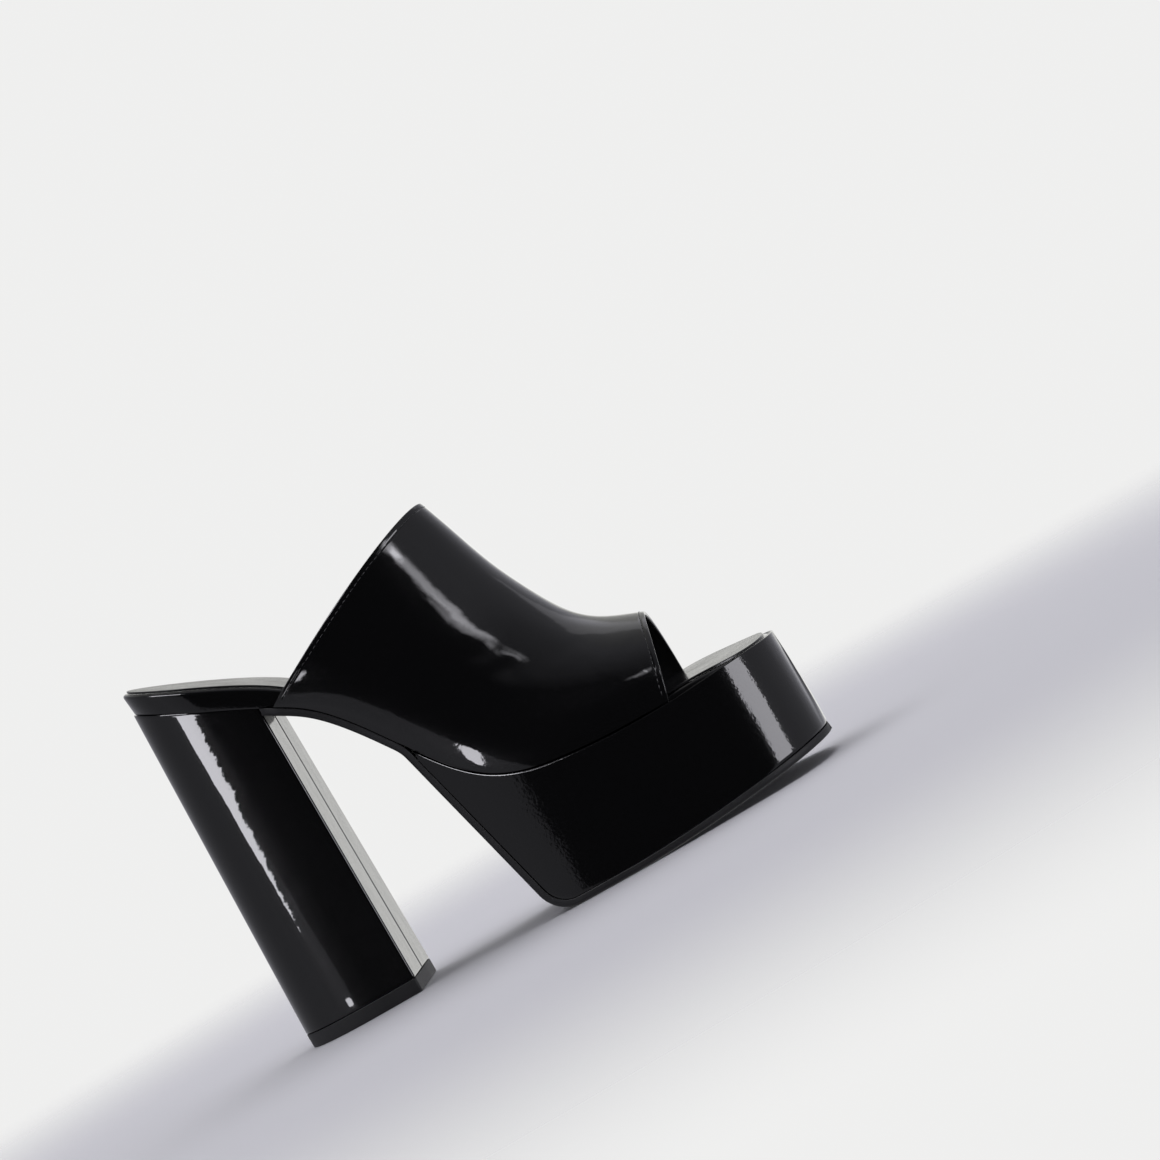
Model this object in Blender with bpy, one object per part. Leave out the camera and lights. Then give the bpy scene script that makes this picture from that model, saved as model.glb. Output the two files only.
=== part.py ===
"""Platform mule: a right shoe with an open toe, an open back and a high block heel.

Every piece is a solid of its own at its real size, in metres, with +X to the toe, +Z up
and the lateral side of the foot at -Y. Plan outlines are half-widths over x, and heights
are curves over x, so that each layer of the sole is a stack of rings that share stations.
"""

import math

import bpy

MM = 0.001

# Overall sizes
SHOE_LENGTH = 219.6 * MM  # back of the heel to the tip of the toe, along the floor
SEAT_HEIGHT = 136.2 * MM  # floor to the underside of the insole at the back of the heel
PLATFORM_HEIGHT = 46.1 * MM  # floor to the underside of the insole at the ball
BALL_WIDTH = 81.0 * MM  # insole across the ball
SEAT_WIDTH = 54.0 * MM  # insole across the heel seat
INSTEP_RISE = 103.8 * MM  # top of the collar above the top of the platform
TOE_OPENING_RISE = 30.8 * MM  # top edge of the toe opening above the top of the platform
COLLAR_SETBACK = 53.0 * MM  # back of the top piece to the foot of the collar
TOE_OPENING_FORWARD = 177.8 * MM  # back of the top piece to the foot of the toe opening

# Layers
UPPER_WALL = 1.8 * MM
OUTSOLE_THICKNESS = 2.7 * MM
SEAT_THICKNESS = 8.4 * MM  # insole edge at the heel, measured upright
FOREPART_THICKNESS = 2.5 * MM  # insole edge at the ball and toe
SOCK_THICKNESS = 0.8 * MM
SOCK_MARGIN = 2.0 * MM  # edge of the insole to the edge of the sock
TOP_PIECE_THICKNESS = 5.3 * MM
CLEARANCE = 0.3 * MM  # between pieces that meet

# Outline of the sole
SEAT_SETBACK = 3.5 * MM  # back of the top piece to the back of the seat
SEAT_ROUND = 27.0 * MM  # length over which the back of the seat is round
SEAT_SQUARENESS = 2.1  # 2 is an ellipse, and more is squarer
TOE_ROUND = 28.0 * MM  # length over which the toe is round
TOE_SQUARENESS = 2.5
TOE_MARGIN = 5.6 * MM  # tip of the toe to the front of the insole
PLATFORM_LEDGE = 0.8 * MM  # platform beyond the foot of the upper
LEDGE_STRETCH = (0.39, 0.46)  # shares of SHOE_LENGTH over which the ledge comes in
PLATFORM_FLARE = 1.6 * MM  # foot of the platform beyond its top
TOE_SPRING = 7.2 * MM  # rise of the outsole at the tip of the toe
FLAT_END = 136.0 * MM  # back of the top piece to the front of the flat tread
TOE_SPRING_POWER = 1.6  # how late the tread rises: 1 is a straight ramp
BREAST_FOOT = 106.3 * MM  # where the back of the platform would meet the inside of the tread
BREAST_ANGLE = math.radians(75.2)
BREAST_TOP_RADIUS = 16.0 * MM
BREAST_FOOT_RADIUS = 10.0 * MM

# Heel
TOP_PIECE_LENGTH = 48.1 * MM
TOP_PIECE_WIDTH = 54.6 * MM
TOP_PIECE_ROUND = 33.0 * MM  # length over which its back is round
BREAST_SETBACK = 47.4 * MM  # back of the top piece to the breast of the heel under the seat
HEEL_CORNER_RADIUS = 1.6 * MM
HEEL_HEAD_TAPER = 0.10  # share of the seat's width that the heel loses at its breast

# Rounded edges
INSOLE_EDGE_RADIUS = 1.6 * MM
PLATFORM_EDGE_RADIUS = 1.2 * MM
PLATFORM_LEAST_HEIGHT = 3.6 * MM  # where its wedge ends, at the back
TREAD_EDGE_RADIUS = 1.5 * MM
TOP_PIECE_EDGE_RADIUS = 0.5 * MM

# Form of the upper
ROLL_REACH = 5.5 * MM  # how far up its side the turned-under foot reaches
CROWN_ARCH = 0.45  # share of a section's arch that its ridge keeps

PLATFORM_TOP = PLATFORM_HEIGHT
LATERAL, MEDIAL = -1, 1

# Height of the insole's underside. along: share of SHOE_LENGTH.
# drop: share of the fall from the seat to the platform that is still to come.
# thickness: share of the change from FOREPART_THICKNESS to SEAT_THICKNESS.
FEATHER_ROWS = (
    # along, drop, thickness
    (0.016, 1.000, 1.00),
    (0.106, 0.901, 1.00),
    (0.199, 0.793, 0.98),
    (0.244, 0.735, 0.90),
    (0.290, 0.660, 0.70),
    (0.336, 0.542, 0.45),
    (0.382, 0.392, 0.33),
    (0.429, 0.238, 0.25),
    (0.476, 0.127, 0.12),
    (0.522, 0.065, 0.05),
    (0.614, 0.018, 0.00),
    (0.704, 0.002, 0.00),
    (0.793, 0.000, 0.00),
    (0.882, 0.003, 0.00),
    (0.973, 0.010, 0.00),
)

# Half-widths of the insole before its ends are rounded. along: share of SHOE_LENGTH.
# seat: how far the width follows SEAT_WIDTH and not BALL_WIDTH.
# lateral, medial: shares of half that width, on either side of the centre line.
OUTLINE_ROWS = (
    # along, seat, lateral, medial
    (0.016, 1.00, 1.000, 0.985),
    (0.115, 1.00, 1.000, 0.985),
    (0.207, 1.00, 1.005, 0.975),
    (0.299, 0.97, 0.975, 0.895),
    (0.391, 0.84, 1.010, 0.865),
    (0.483, 0.50, 1.045, 0.880),
    (0.575, 0.15, 1.030, 0.935),
    (0.667, 0.00, 1.010, 0.980),
    (0.759, 0.00, 0.990, 1.005),
    (0.851, 0.00, 0.930, 0.985),
    (0.974, 0.00, 0.830, 0.910),
)

# Sections of the upper, from the collar to the toe opening.
# foot: place between COLLAR_SETBACK and TOE_OPENING_FORWARD, the same on both sides.
# skew: how far the medial foot stands ahead of it and the lateral foot behind it, as a
#       share of SHOE_LENGTH.
# top: the ridge, as a share of SHOE_LENGTH; rise: its height above the toe opening, as a
#      share of the rise from there to the collar.
# ridge: how far the ridge lies to the medial side, as a share of BALL_WIDTH.
# roll: how far the wall turns under at its foot, as a share of BALL_WIDTH.
# side, breadth: handles of the section's curve, as shares of its height and half-width.
# lean: bulge of the side, as a share of BALL_WIDTH.
# bow: how far the section arches forward, as a share of SHOE_LENGTH.
UPPER_ROWS = (
    # foot, skew, top, rise, ridge, roll, side, breadth, lean, bow
    (0.000, 0.000, 0.5975, 1.000, 0.030, 0.040, 0.60, 0.82, 0.022, -0.019),
    (0.122, 0.000, 0.6190, 0.820, 0.032, 0.054, 0.59, 0.78, 0.030, -0.016),
    (0.245, 0.000, 0.6455, 0.597, 0.032, 0.056, 0.58, 0.74, 0.034, -0.012),
    (0.380, 0.000, 0.6785, 0.387, 0.030, 0.040, 0.57, 0.70, 0.030, -0.006),
    (0.525, 0.001, 0.7150, 0.205, 0.026, 0.020, 0.56, 0.67, 0.022, 0.000),
    (0.672, 0.004, 0.7520, 0.100, 0.020, 0.010, 0.55, 0.64, 0.016, 0.004),
    (0.830, 0.008, 0.7870, 0.045, 0.014, 0.006, 0.54, 0.62, 0.012, 0.005),
    (1.000, 0.012, 0.8240, 0.000, 0.008, 0.004, 0.53, 0.60, 0.008, 0.006),
)

# How finely the curved pieces are faceted
UPPER_LENGTH_STEPS = 28
UPPER_SIDE_STEPS = 20
CROWD_AT_FOOT = 1.25  # above 1, the upper's facets are smaller towards its foot
NORMAL_STEP = 0.002  # share of the upper's length or girth over which its slope is read
FOOT_BLEND = 14.0  # the wall's direction is level for about 1 / FOOT_BLEND of its side
STATION_STEP = 4.0 * MM
PATH_STEP = 2.6 * MM
ARC_STEP = 1.6 * MM
END_STEPS = 11
ROUND_STEPS = 3
CORNER_STEPS = 4
HEEL_SHARE_STEP = 0.1
OUTLINE_SAMPLES = 360
CORNER_HALVINGS = 50
SHARP_ANGLE = math.radians(35)
PULL_POWER = 9  # an odd power: how late an inset starts to pull an end in
LEAST_SHARE = 0.5  # share of its half-width that an inset ring keeps at its tips
END_CAP = 0.06 * MM  # the ends of an outline stop this short of their tips

# colour, roughness
PATENT = ((0.006, 0.006, 0.007, 1.0), 0.06)
RUBBER = ((0.018, 0.018, 0.019, 1.0), 0.55)
SOCK_LEATHER = ((0.012, 0.012, 0.013, 1.0), 0.30)


def natural_spline(xs, ys):
    """A smooth curve through the points, as a function that runs on straight past its ends."""
    count = len(xs)
    gaps = [xs[i + 1] - xs[i] for i in range(count - 1)]
    slopes = [(ys[i + 1] - ys[i]) / gaps[i] for i in range(count - 1)]
    bend = [0.0] * count
    factor = [0.0] * count
    for i in range(1, count - 1):
        pivot = 2 * (gaps[i - 1] + gaps[i]) - gaps[i - 1] * factor[i - 1]
        factor[i] = gaps[i] / pivot
        bend[i] = (6 * (slopes[i] - slopes[i - 1]) - gaps[i - 1] * bend[i - 1]) / pivot
    for i in range(count - 2, 0, -1):
        bend[i] -= factor[i] * bend[i + 1]

    def curve(x):
        if x <= xs[0]:
            start = slopes[0] - gaps[0] * bend[1] / 6
            return ys[0] + start * (x - xs[0])
        if x >= xs[-1]:
            end = slopes[-1] + gaps[-1] * bend[-2] / 6
            return ys[-1] + end * (x - xs[-1])
        i = max(k for k in range(count - 1) if xs[k] <= x)
        left, right = x - xs[i], xs[i + 1] - x
        cubic = (bend[i] * right**3 + bend[i + 1] * left**3) / (6 * gaps[i])
        share = (ys[i] / gaps[i] - bend[i] * gaps[i] / 6) * right
        return cubic + share + (ys[i + 1] / gaps[i] - bend[i + 1] * gaps[i] / 6) * left

    return curve


def table(rows):
    """One curve over the first column for each of the other columns."""
    columns = list(zip(*rows))
    return [natural_spline(columns[0], column) for column in columns[1:]]


def ease(x, start, end):
    """0 before start, 1 after end, and smooth between them."""
    share = min(1.0, max(0.0, (x - start) / (end - start)))
    return share * share * (3 - 2 * share)


def interpolate(points, x):
    """The second coordinate at x, on a chain of points with rising first coordinates."""
    low, high = 0, len(points) - 1
    if x <= points[low][0]:
        return points[low][1]
    if x >= points[high][0]:
        return points[high][1]
    while high - low > 1:
        middle = (low + high) // 2
        if points[middle][0] <= x:
            low = middle
        else:
            high = middle
    share = (x - points[low][0]) / (points[high][0] - points[low][0])
    return points[low][1] + share * (points[high][1] - points[low][1])


DROP, THICKNESS = table(FEATHER_ROWS)
SEAT_SHARE, LATERAL_SHARE, MEDIAL_SHARE = table(OUTLINE_ROWS)
INSOLE_BACK = SEAT_SETBACK
INSOLE_FRONT = SHOE_LENGTH - TOE_MARGIN


def feather(x):
    """Height of the insole's underside, which is the top of the platform and the heel."""
    return PLATFORM_TOP + DROP(x / SHOE_LENGTH) * (SEAT_HEIGHT - PLATFORM_TOP)


def insole_top(x):
    share = THICKNESS(x / SHOE_LENGTH)
    return feather(x) + FOREPART_THICKNESS + share * (SEAT_THICKNESS - FOREPART_THICKNESS)


def end_round(distance, length, power):
    """Share of the full width that an end keeps at this distance from its tip."""
    if distance >= length:
        return 1.0
    return (1 - (1 - max(0.0, distance) / length) ** power) ** (1 / power)


def insole_half(x, side):
    """Half-width of the insole's outline on one side of the centre line."""
    along = x / SHOE_LENGTH
    seat = SEAT_SHARE(along)
    width = seat * SEAT_WIDTH + (1 - seat) * BALL_WIDTH
    share = LATERAL_SHARE(along) if side == LATERAL else MEDIAL_SHARE(along)
    back = end_round(x - INSOLE_BACK, SEAT_ROUND, SEAT_SQUARENESS)
    front = end_round(INSOLE_FRONT - x, TOE_ROUND, TOE_SQUARENESS)
    return share * width / 2 * back * front


def end_spaced(start, end, samples):
    """Values from start to end, close together at both ends."""
    return [
        start + (end - start) * (1 - math.cos(math.pi * i / (samples - 1))) / 2
        for i in range(samples)
    ]


class Outline:
    """The insole's outline moved outwards by a distance, which may be a function of x."""

    def __init__(self, distance):
        self.distance = distance if callable(distance) else lambda x: distance
        self.sides = {side: self.moved(side) for side in (LATERAL, MEDIAL)}
        self.back = INSOLE_BACK - self.distance(INSOLE_BACK)
        self.front = INSOLE_FRONT + self.distance(INSOLE_FRONT)

    def moved(self, side):
        xs = end_spaced(INSOLE_BACK, INSOLE_FRONT, OUTLINE_SAMPLES)
        points = [(x, insole_half(x, side)) for x in xs]
        chain = []
        for i, (x, y) in enumerate(points):
            if i == 0 or i == len(points) - 1:
                normal = (-1.0 if i == 0 else 1.0, 0.0)
            else:
                dx = points[i + 1][0] - points[i - 1][0]
                dy = points[i + 1][1] - points[i - 1][1]
                length = math.hypot(dx, dy)
                normal = (-dy / length, dx / length)
            distance = self.distance(x)
            chain.append((x + normal[0] * distance, y + normal[1] * distance))
        return chain

    def half(self, x, side):
        return interpolate(self.sides[side], x)


def upper_offset(x):
    """Room for the upper's wall beside the insole. It starts at the foot of the collar."""
    start = COLLAR_SETBACK - 2 * (UPPER_WALL + CLEARANCE)
    return (UPPER_WALL + CLEARANCE) * ease(x, start, COLLAR_SETBACK)


def platform_offset(x):
    start, end = (share * SHOE_LENGTH for share in LEDGE_STRETCH)
    return upper_offset(x) + PLATFORM_LEDGE * ease(x, start, end)


INSOLE_OUTLINE = Outline(0.0)
SOCK_OUTLINE = Outline(-SOCK_MARGIN)
UPPER_FOOT = Outline(upper_offset)
PLATFORM_OUTLINE = Outline(platform_offset)
FLARED_OUTLINE = Outline(lambda x: platform_offset(x) + PLATFORM_FLARE)


def end_stations(tip, inwards, length):
    """Stations near a round end, closer together towards its tip."""
    return [
        tip + inwards * (END_CAP + (length - END_CAP) * (1 - math.cos(angle)))
        for angle in (math.pi / 2 * i / END_STEPS for i in range(END_STEPS))
    ]


def even(start, end, step):
    count = max(1, round(abs(end - start) / step))
    return [start + (end - start) * i / count for i in range(count)]


def stations(outline):
    """Places along the shoe at which a full-length layer is measured, back to front."""
    back_end, front_start = outline.back + SEAT_ROUND, outline.front - TOE_ROUND
    middle = even(back_end, front_start, STATION_STEP)
    return (
        end_stations(outline.back, 1, SEAT_ROUND)
        + middle
        + end_stations(outline.front, -1, TOE_ROUND)[::-1]
    )


def ring(outline, xs, height, inset=0.0):
    """Pairs of points of a layer's outline. An inset pulls the sides and the ends in."""
    middle = (outline.back + outline.front) / 2
    reach = (outline.front - outline.back) / 2
    points = []
    for x in xs:
        pulled = x - inset * max(-1.0, min(1.0, ((x - middle) / reach) ** PULL_POWER))
        halves = {side: outline.half(x, side) for side in (LATERAL, MEDIAL)}
        widths = {
            side: max(halves[side] - inset, halves[side] * LEAST_SHARE) for side in halves
        }
        points.append((pulled, -widths[LATERAL], widths[MEDIAL], height(pulled)))
    return points


def add_object(name, vertices, faces, look):
    mesh = bpy.data.meshes.new(name)
    mesh.from_pydata(vertices, [], faces)
    mesh.update()
    part = bpy.data.objects.new(name, mesh)
    bpy.context.scene.collection.objects.link(part)
    mesh.materials.append(look)
    mesh.shade_smooth()
    mesh.set_sharp_from_angle(angle=SHARP_ANGLE)
    return part


def add_slab(name, rings, look):
    """A closed layer from rings of station pairs, listed from its underside to its top."""
    count = len(rings[0])
    vertices, faces = [], []
    for pairs in rings:
        vertices += [(x, low, z) for x, low, high, z in pairs]
        vertices += [(x, high, z) for x, low, high, z in pairs]

    def at(level, side, i):
        return level * 2 * count + side * count + i

    top = len(rings) - 1
    for i in range(count - 1):
        faces.append((at(0, 0, i), at(0, 1, i), at(0, 1, i + 1), at(0, 0, i + 1)))
        faces.append((at(top, 0, i), at(top, 0, i + 1), at(top, 1, i + 1), at(top, 1, i)))
        for level in range(top):
            low, high = level, level + 1
            faces.append((at(low, 0, i), at(low, 0, i + 1), at(high, 0, i + 1), at(high, 0, i)))
            faces.append((at(low, 1, i), at(high, 1, i), at(high, 1, i + 1), at(low, 1, i + 1)))
    last = count - 1
    for level in range(top):
        low, high = level, level + 1
        faces.append((at(low, 0, 0), at(high, 0, 0), at(high, 1, 0), at(low, 1, 0)))
        faces.append((at(low, 0, last), at(low, 1, last), at(high, 1, last), at(high, 0, last)))
    return add_object(name, vertices, faces, look)


def rounded_levels(radius):
    """(inset, depth) of each ring down a rounded edge, from its side to its face."""
    angles = [math.pi / 2 * i / ROUND_STEPS for i in range(ROUND_STEPS + 1)]
    return [(radius * (1 - math.cos(a)), radius * (1 - math.sin(a))) for a in angles]


def arc(corner, before, after, radius):
    """Points of the arc that rounds a corner between two unit directions."""
    turn = math.acos(max(-1.0, min(1.0, before[0] * after[0] + before[1] * after[1])))
    reach = radius * math.tan(turn / 2)
    start = (corner[0] - before[0] * reach, corner[1] - before[1] * reach)
    hand = 1 if before[0] * after[1] - before[1] * after[0] > 0 else -1
    centre = (start[0] - before[1] * hand * radius, start[1] + before[0] * hand * radius)
    steps = max(3, round(radius * turn / ARC_STEP))
    points = []
    for i in range(steps + 1):
        angle = hand * turn * i / steps
        dx, dz = start[0] - centre[0], start[1] - centre[1]
        points.append(
            (
                centre[0] + dx * math.cos(angle) - dz * math.sin(angle),
                centre[1] + dx * math.sin(angle) + dz * math.cos(angle),
            )
        )
    return points


def tread_height(x):
    """Height of the tread's inside over the floor, with the toe spring."""
    share = max(0.0, (x - FLAT_END) / (SHOE_LENGTH - FLAT_END))
    return OUTSOLE_THICKNESS + TOE_SPRING * share**TOE_SPRING_POWER


def sole_path():
    """Inside of the outsole, from the breast of the heel to the toe, as (x, z) points."""
    down = (math.cos(BREAST_ANGLE), -math.sin(BREAST_ANGLE))
    foot = (BREAST_FOOT, OUTSOLE_THICKNESS)

    def breast_line(z):
        return foot[0] - (z - foot[1]) * down[0] / -down[1]

    low, high = BREAST_SETBACK, BREAST_FOOT
    for _ in range(CORNER_HALVINGS):
        middle = (low + high) / 2
        if breast_line(feather(middle)) > middle:
            low = middle
        else:
            high = middle
    corner = (low, feather(low) - CLEARANCE)
    slope = (feather(low) - feather(low - MM)) / MM
    length = math.hypot(1, slope)
    top_arc = arc(corner, (1 / length, slope / length), down, BREAST_TOP_RADIUS)
    foot_arc = arc(foot, down, (1.0, 0.0), BREAST_FOOT_RADIUS)
    waist_start = BREAST_SETBACK + CLEARANCE
    waist = [(x, feather(x) - CLEARANCE) for x in even(waist_start, top_arc[0][0], PATH_STEP)]
    drop = math.dist(top_arc[-1], foot_arc[0])
    steps = max(2, round(drop / (2 * PATH_STEP)))
    breast = [
        (
            top_arc[-1][0] + (foot_arc[0][0] - top_arc[-1][0]) * i / steps,
            top_arc[-1][1] + (foot_arc[0][1] - top_arc[-1][1]) * i / steps,
        )
        for i in range(1, steps)
    ]
    front = PLATFORM_OUTLINE.front + PLATFORM_FLARE
    toe = end_stations(front, -1, TOE_ROUND)[::-1]
    tread = even(foot_arc[-1][0], toe[0], STATION_STEP)[1:] + toe
    return waist + top_arc + breast + foot_arc + [(x, tread_height(x)) for x in tread]


def moved_path(path, distance):
    """The path moved sideways, downwards and to the back where the distance is positive."""
    moved = []
    for i, (x, z) in enumerate(path):
        before, after = path[max(0, i - 1)], path[min(len(path) - 1, i + 1)]
        dx, dz = after[0] - before[0], after[1] - before[1]
        length = math.hypot(dx, dz)
        if i == 0:
            moved.append((x, z - length / dx * distance))
        else:
            moved.append((x + dz / length * distance, z - dx / length * distance))
    return moved


SOLE_PATH = sole_path()


def flare_at(x, z):
    """Spread of the platform's side below its top, growing towards the tread."""
    height = feather(x) - tread_height(x)
    share = (feather(x) - z) / max(height, MM)
    return PLATFORM_FLARE * max(0.0, min(1.0, share)) * ease(x, BREAST_SETBACK, FLAT_END)


def sole_ring(points, inset=0.0):
    """Station pairs of a layer that follows the sole's path, with the platform's flare."""
    pairs = []
    for x, z in points:
        share = flare_at(x, z) / PLATFORM_FLARE
        halves = []
        for side in (LATERAL, MEDIAL):
            narrow = PLATFORM_OUTLINE.half(x, side) if x <= PLATFORM_OUTLINE.front else 0.0
            half = narrow + (FLARED_OUTLINE.half(x, side) - narrow) * share
            halves.append(max(half - inset, half * LEAST_SHARE))
        pairs.append((x, -halves[0], halves[1], z))
    return pairs


def build_outsole(look):
    outer = moved_path(SOLE_PATH, OUTSOLE_THICKNESS)
    edge = moved_path(SOLE_PATH, OUTSOLE_THICKNESS - TREAD_EDGE_RADIUS)
    rings = [sole_ring(outer, TREAD_EDGE_RADIUS), sole_ring(edge), sole_ring(SOLE_PATH)]
    return add_slab("outsole", rings, look)


def build_platform(look):
    """Block under the forefoot, cut to a wedge where its back runs up into the waist."""
    under = moved_path(SOLE_PATH, -CLEARANCE)
    kept = [(x, z) for x, z in under if feather(x) - z > PLATFORM_LEAST_HEIGHT]
    front = PLATFORM_OUTLINE.front + PLATFORM_FLARE
    rings = [sole_ring(kept), platform_level(kept, 0.5, front)]
    for inset, depth in rounded_levels(PLATFORM_EDGE_RADIUS):
        rings.append(platform_level(kept, 0.0, front, inset, depth))
    return add_slab("platform", rings, look)


def platform_level(under, share, front, inset=0.0, depth=0.0):
    """A ring of the platform's side: share 0 is its top, and 1 its underside."""
    points = []
    for x, z in under:
        back = ease(x, front - TOE_ROUND, front)
        moved = x - PLATFORM_FLARE * (1 - share) * back
        height = feather(moved) - CLEARANCE - depth
        points.append((moved, height + (z - height) * share))
    pairs = sole_ring(points, inset)
    return [
        (x - inset * ease(x, front - TOE_ROUND, front), low, high, z)
        for x, low, high, z in pairs
    ]


def build_insole(look):
    xs = stations(INSOLE_OUTLINE)
    rings = [ring(INSOLE_OUTLINE, xs, feather)]
    for inset, depth in rounded_levels(INSOLE_EDGE_RADIUS):
        rings.append(ring(INSOLE_OUTLINE, xs, lambda x, d=depth: insole_top(x) - d, inset))
    return add_slab("insole", rings, look)


def build_sock(look):
    xs = stations(SOCK_OUTLINE)
    low = ring(SOCK_OUTLINE, xs, lambda x: insole_top(x) + CLEARANCE)
    high = ring(SOCK_OUTLINE, xs, lambda x: insole_top(x) + CLEARANCE + SOCK_THICKNESS)
    return add_slab("sock_lining", [low, high], look)


def heel_half(x, front, half_at):
    """Half-width of a heel section with small round corners at its breast."""
    distance = front - x
    full = half_at(min(x, front))
    if distance >= HEEL_CORNER_RADIUS:
        return full
    left = HEEL_CORNER_RADIUS - max(0.0, distance)
    return full - HEEL_CORNER_RADIUS + math.sqrt(max(0.0, HEEL_CORNER_RADIUS**2 - left**2))


def heel_shares():
    """Shares of the heel's length at which its sections are measured, back to breast."""
    round_share = TOP_PIECE_ROUND / TOP_PIECE_LENGTH
    back = [
        round_share * (1 - math.cos(math.pi / 2 * i / END_STEPS)) + END_CAP / TOP_PIECE_LENGTH
        for i in range(END_STEPS)
    ]
    corner = 1 - HEEL_CORNER_RADIUS / TOP_PIECE_LENGTH
    middle = even(round_share, corner, HEEL_SHARE_STEP)[1:]
    quarters = [math.pi / 2 * i / CORNER_STEPS for i in range(CORNER_STEPS + 1)]
    bend = [corner + (1 - corner) * math.sin(angle) for angle in quarters]
    return back + middle + bend


def foot_half(x):
    """Half-width of the heel where it meets the top piece."""
    return TOP_PIECE_WIDTH / 2 * end_round(x, TOP_PIECE_ROUND, SEAT_SQUARENESS)


def heel_foot_ring(z, inset=0.0):
    front = TOP_PIECE_LENGTH
    pairs = []
    for share in heel_shares():
        x = front * share
        half = heel_half(x, front, foot_half)
        half = max(half - inset, half * LEAST_SHARE)
        pairs.append((x + inset * (1 - 2 * share), -half, half, z))
    return pairs


def heel_head_ring():
    back, front = INSOLE_BACK, BREAST_SETBACK
    pairs = []
    for share in heel_shares():
        x = back + (front - back) * share
        kept = 1 - HEEL_HEAD_TAPER * share**2
        low = heel_half(x, front, lambda v: INSOLE_OUTLINE.half(v, LATERAL)) * kept
        high = heel_half(x, front, lambda v: INSOLE_OUTLINE.half(v, MEDIAL)) * kept
        pairs.append((x, -low, high, feather(x) - CLEARANCE))
    return pairs


def build_heel(look):
    foot = heel_foot_ring(TOP_PIECE_THICKNESS + CLEARANCE)
    return add_slab("heel", [foot, heel_head_ring()], look)


def build_top_piece(look):
    rings = [
        heel_foot_ring(0.0, TOP_PIECE_EDGE_RADIUS),
        heel_foot_ring(TOP_PIECE_EDGE_RADIUS),
        heel_foot_ring(TOP_PIECE_THICKNESS),
    ]
    return add_slab("heel_top_piece", rings, look)


UPPER_CURVES = table([(i / (len(UPPER_ROWS) - 1), *row) for i, row in enumerate(UPPER_ROWS)])


def bezier(handles, t):
    weights = ((1 - t) ** 3, 3 * t * (1 - t) ** 2, 3 * t * t * (1 - t), t**3)
    return tuple(sum(w * h[axis] for w, h in zip(weights, handles)) for axis in range(3))


def upper_point(u, v):
    """Outside of the upper: u runs from the collar to the toe opening, v over the foot."""
    foot, skew, top, rise, ridge, roll, side, breadth, lean, bow = (
        curve(u) for curve in UPPER_CURVES
    )
    hand = LATERAL if v < 0.5 else MEDIAL
    t = (1 - abs(2 * v - 1)) ** CROWD_AT_FOOT
    x = COLLAR_SETBACK + foot * (TOE_OPENING_FORWARD - COLLAR_SETBACK)
    x += hand * skew * SHOE_LENGTH
    z = feather(x) + CLEARANCE
    half = UPPER_FOOT.half(x, hand) + roll * BALL_WIDTH
    crown_x = top * SHOE_LENGTH
    crown_z = PLATFORM_TOP + TOE_OPENING_RISE + rise * (INSTEP_RISE - TOE_OPENING_RISE)
    run, climb = crown_x - x, crown_z - z
    height = math.hypot(run, climb)
    arch_x, arch_z = bow * SHOE_LENGTH * climb / height, -bow * SHOE_LENGTH * run / height
    crown_y = ridge * BALL_WIDTH
    handles = (
        (x, hand * half, z),
        (x + side * run + arch_x, hand * (half + lean * BALL_WIDTH), z + side * climb + arch_z),
        (
            crown_x + CROWN_ARCH * arch_x,
            crown_y + hand * breadth * half,
            crown_z + CROWN_ARCH * arch_z,
        ),
        (crown_x, crown_y, crown_z),
    )
    px, py, pz = bezier(handles, t)
    climbed = math.dist((px, pz), (x, z))
    return px, py - hand * roll * BALL_WIDTH * math.exp(-climbed / ROLL_REACH), pz


def unit(vector):
    length = math.sqrt(sum(c * c for c in vector))
    return tuple(c / length for c in vector)


def upper_normal(u, v):
    """Outward direction of the upper. At its foot it points straight to the side."""
    step = NORMAL_STEP
    a, b = upper_point(u - step, v), upper_point(u + step, v)
    low, high = max(0.0, v - step), min(1.0, v + step)
    c, d = upper_point(u, low), upper_point(u, high)
    along = tuple(q - p for p, q in zip(a, b))
    across = tuple(q - p for p, q in zip(c, d))
    normal = unit(
        (
            along[1] * across[2] - along[2] * across[1],
            along[2] * across[0] - along[0] * across[2],
            along[0] * across[1] - along[1] * across[0],
        )
    )
    hand = LATERAL if v < 0.5 else MEDIAL
    if normal[2] < 0 and normal[1] * hand < 0:
        normal = tuple(-c for c in normal)
    edge = math.exp(-(((1 - abs(2 * v - 1)) * FOOT_BLEND) ** 2))
    kept = [c * (1 - edge) for c in normal]
    return unit((kept[0], kept[1] + hand * edge, kept[2]))


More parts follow.
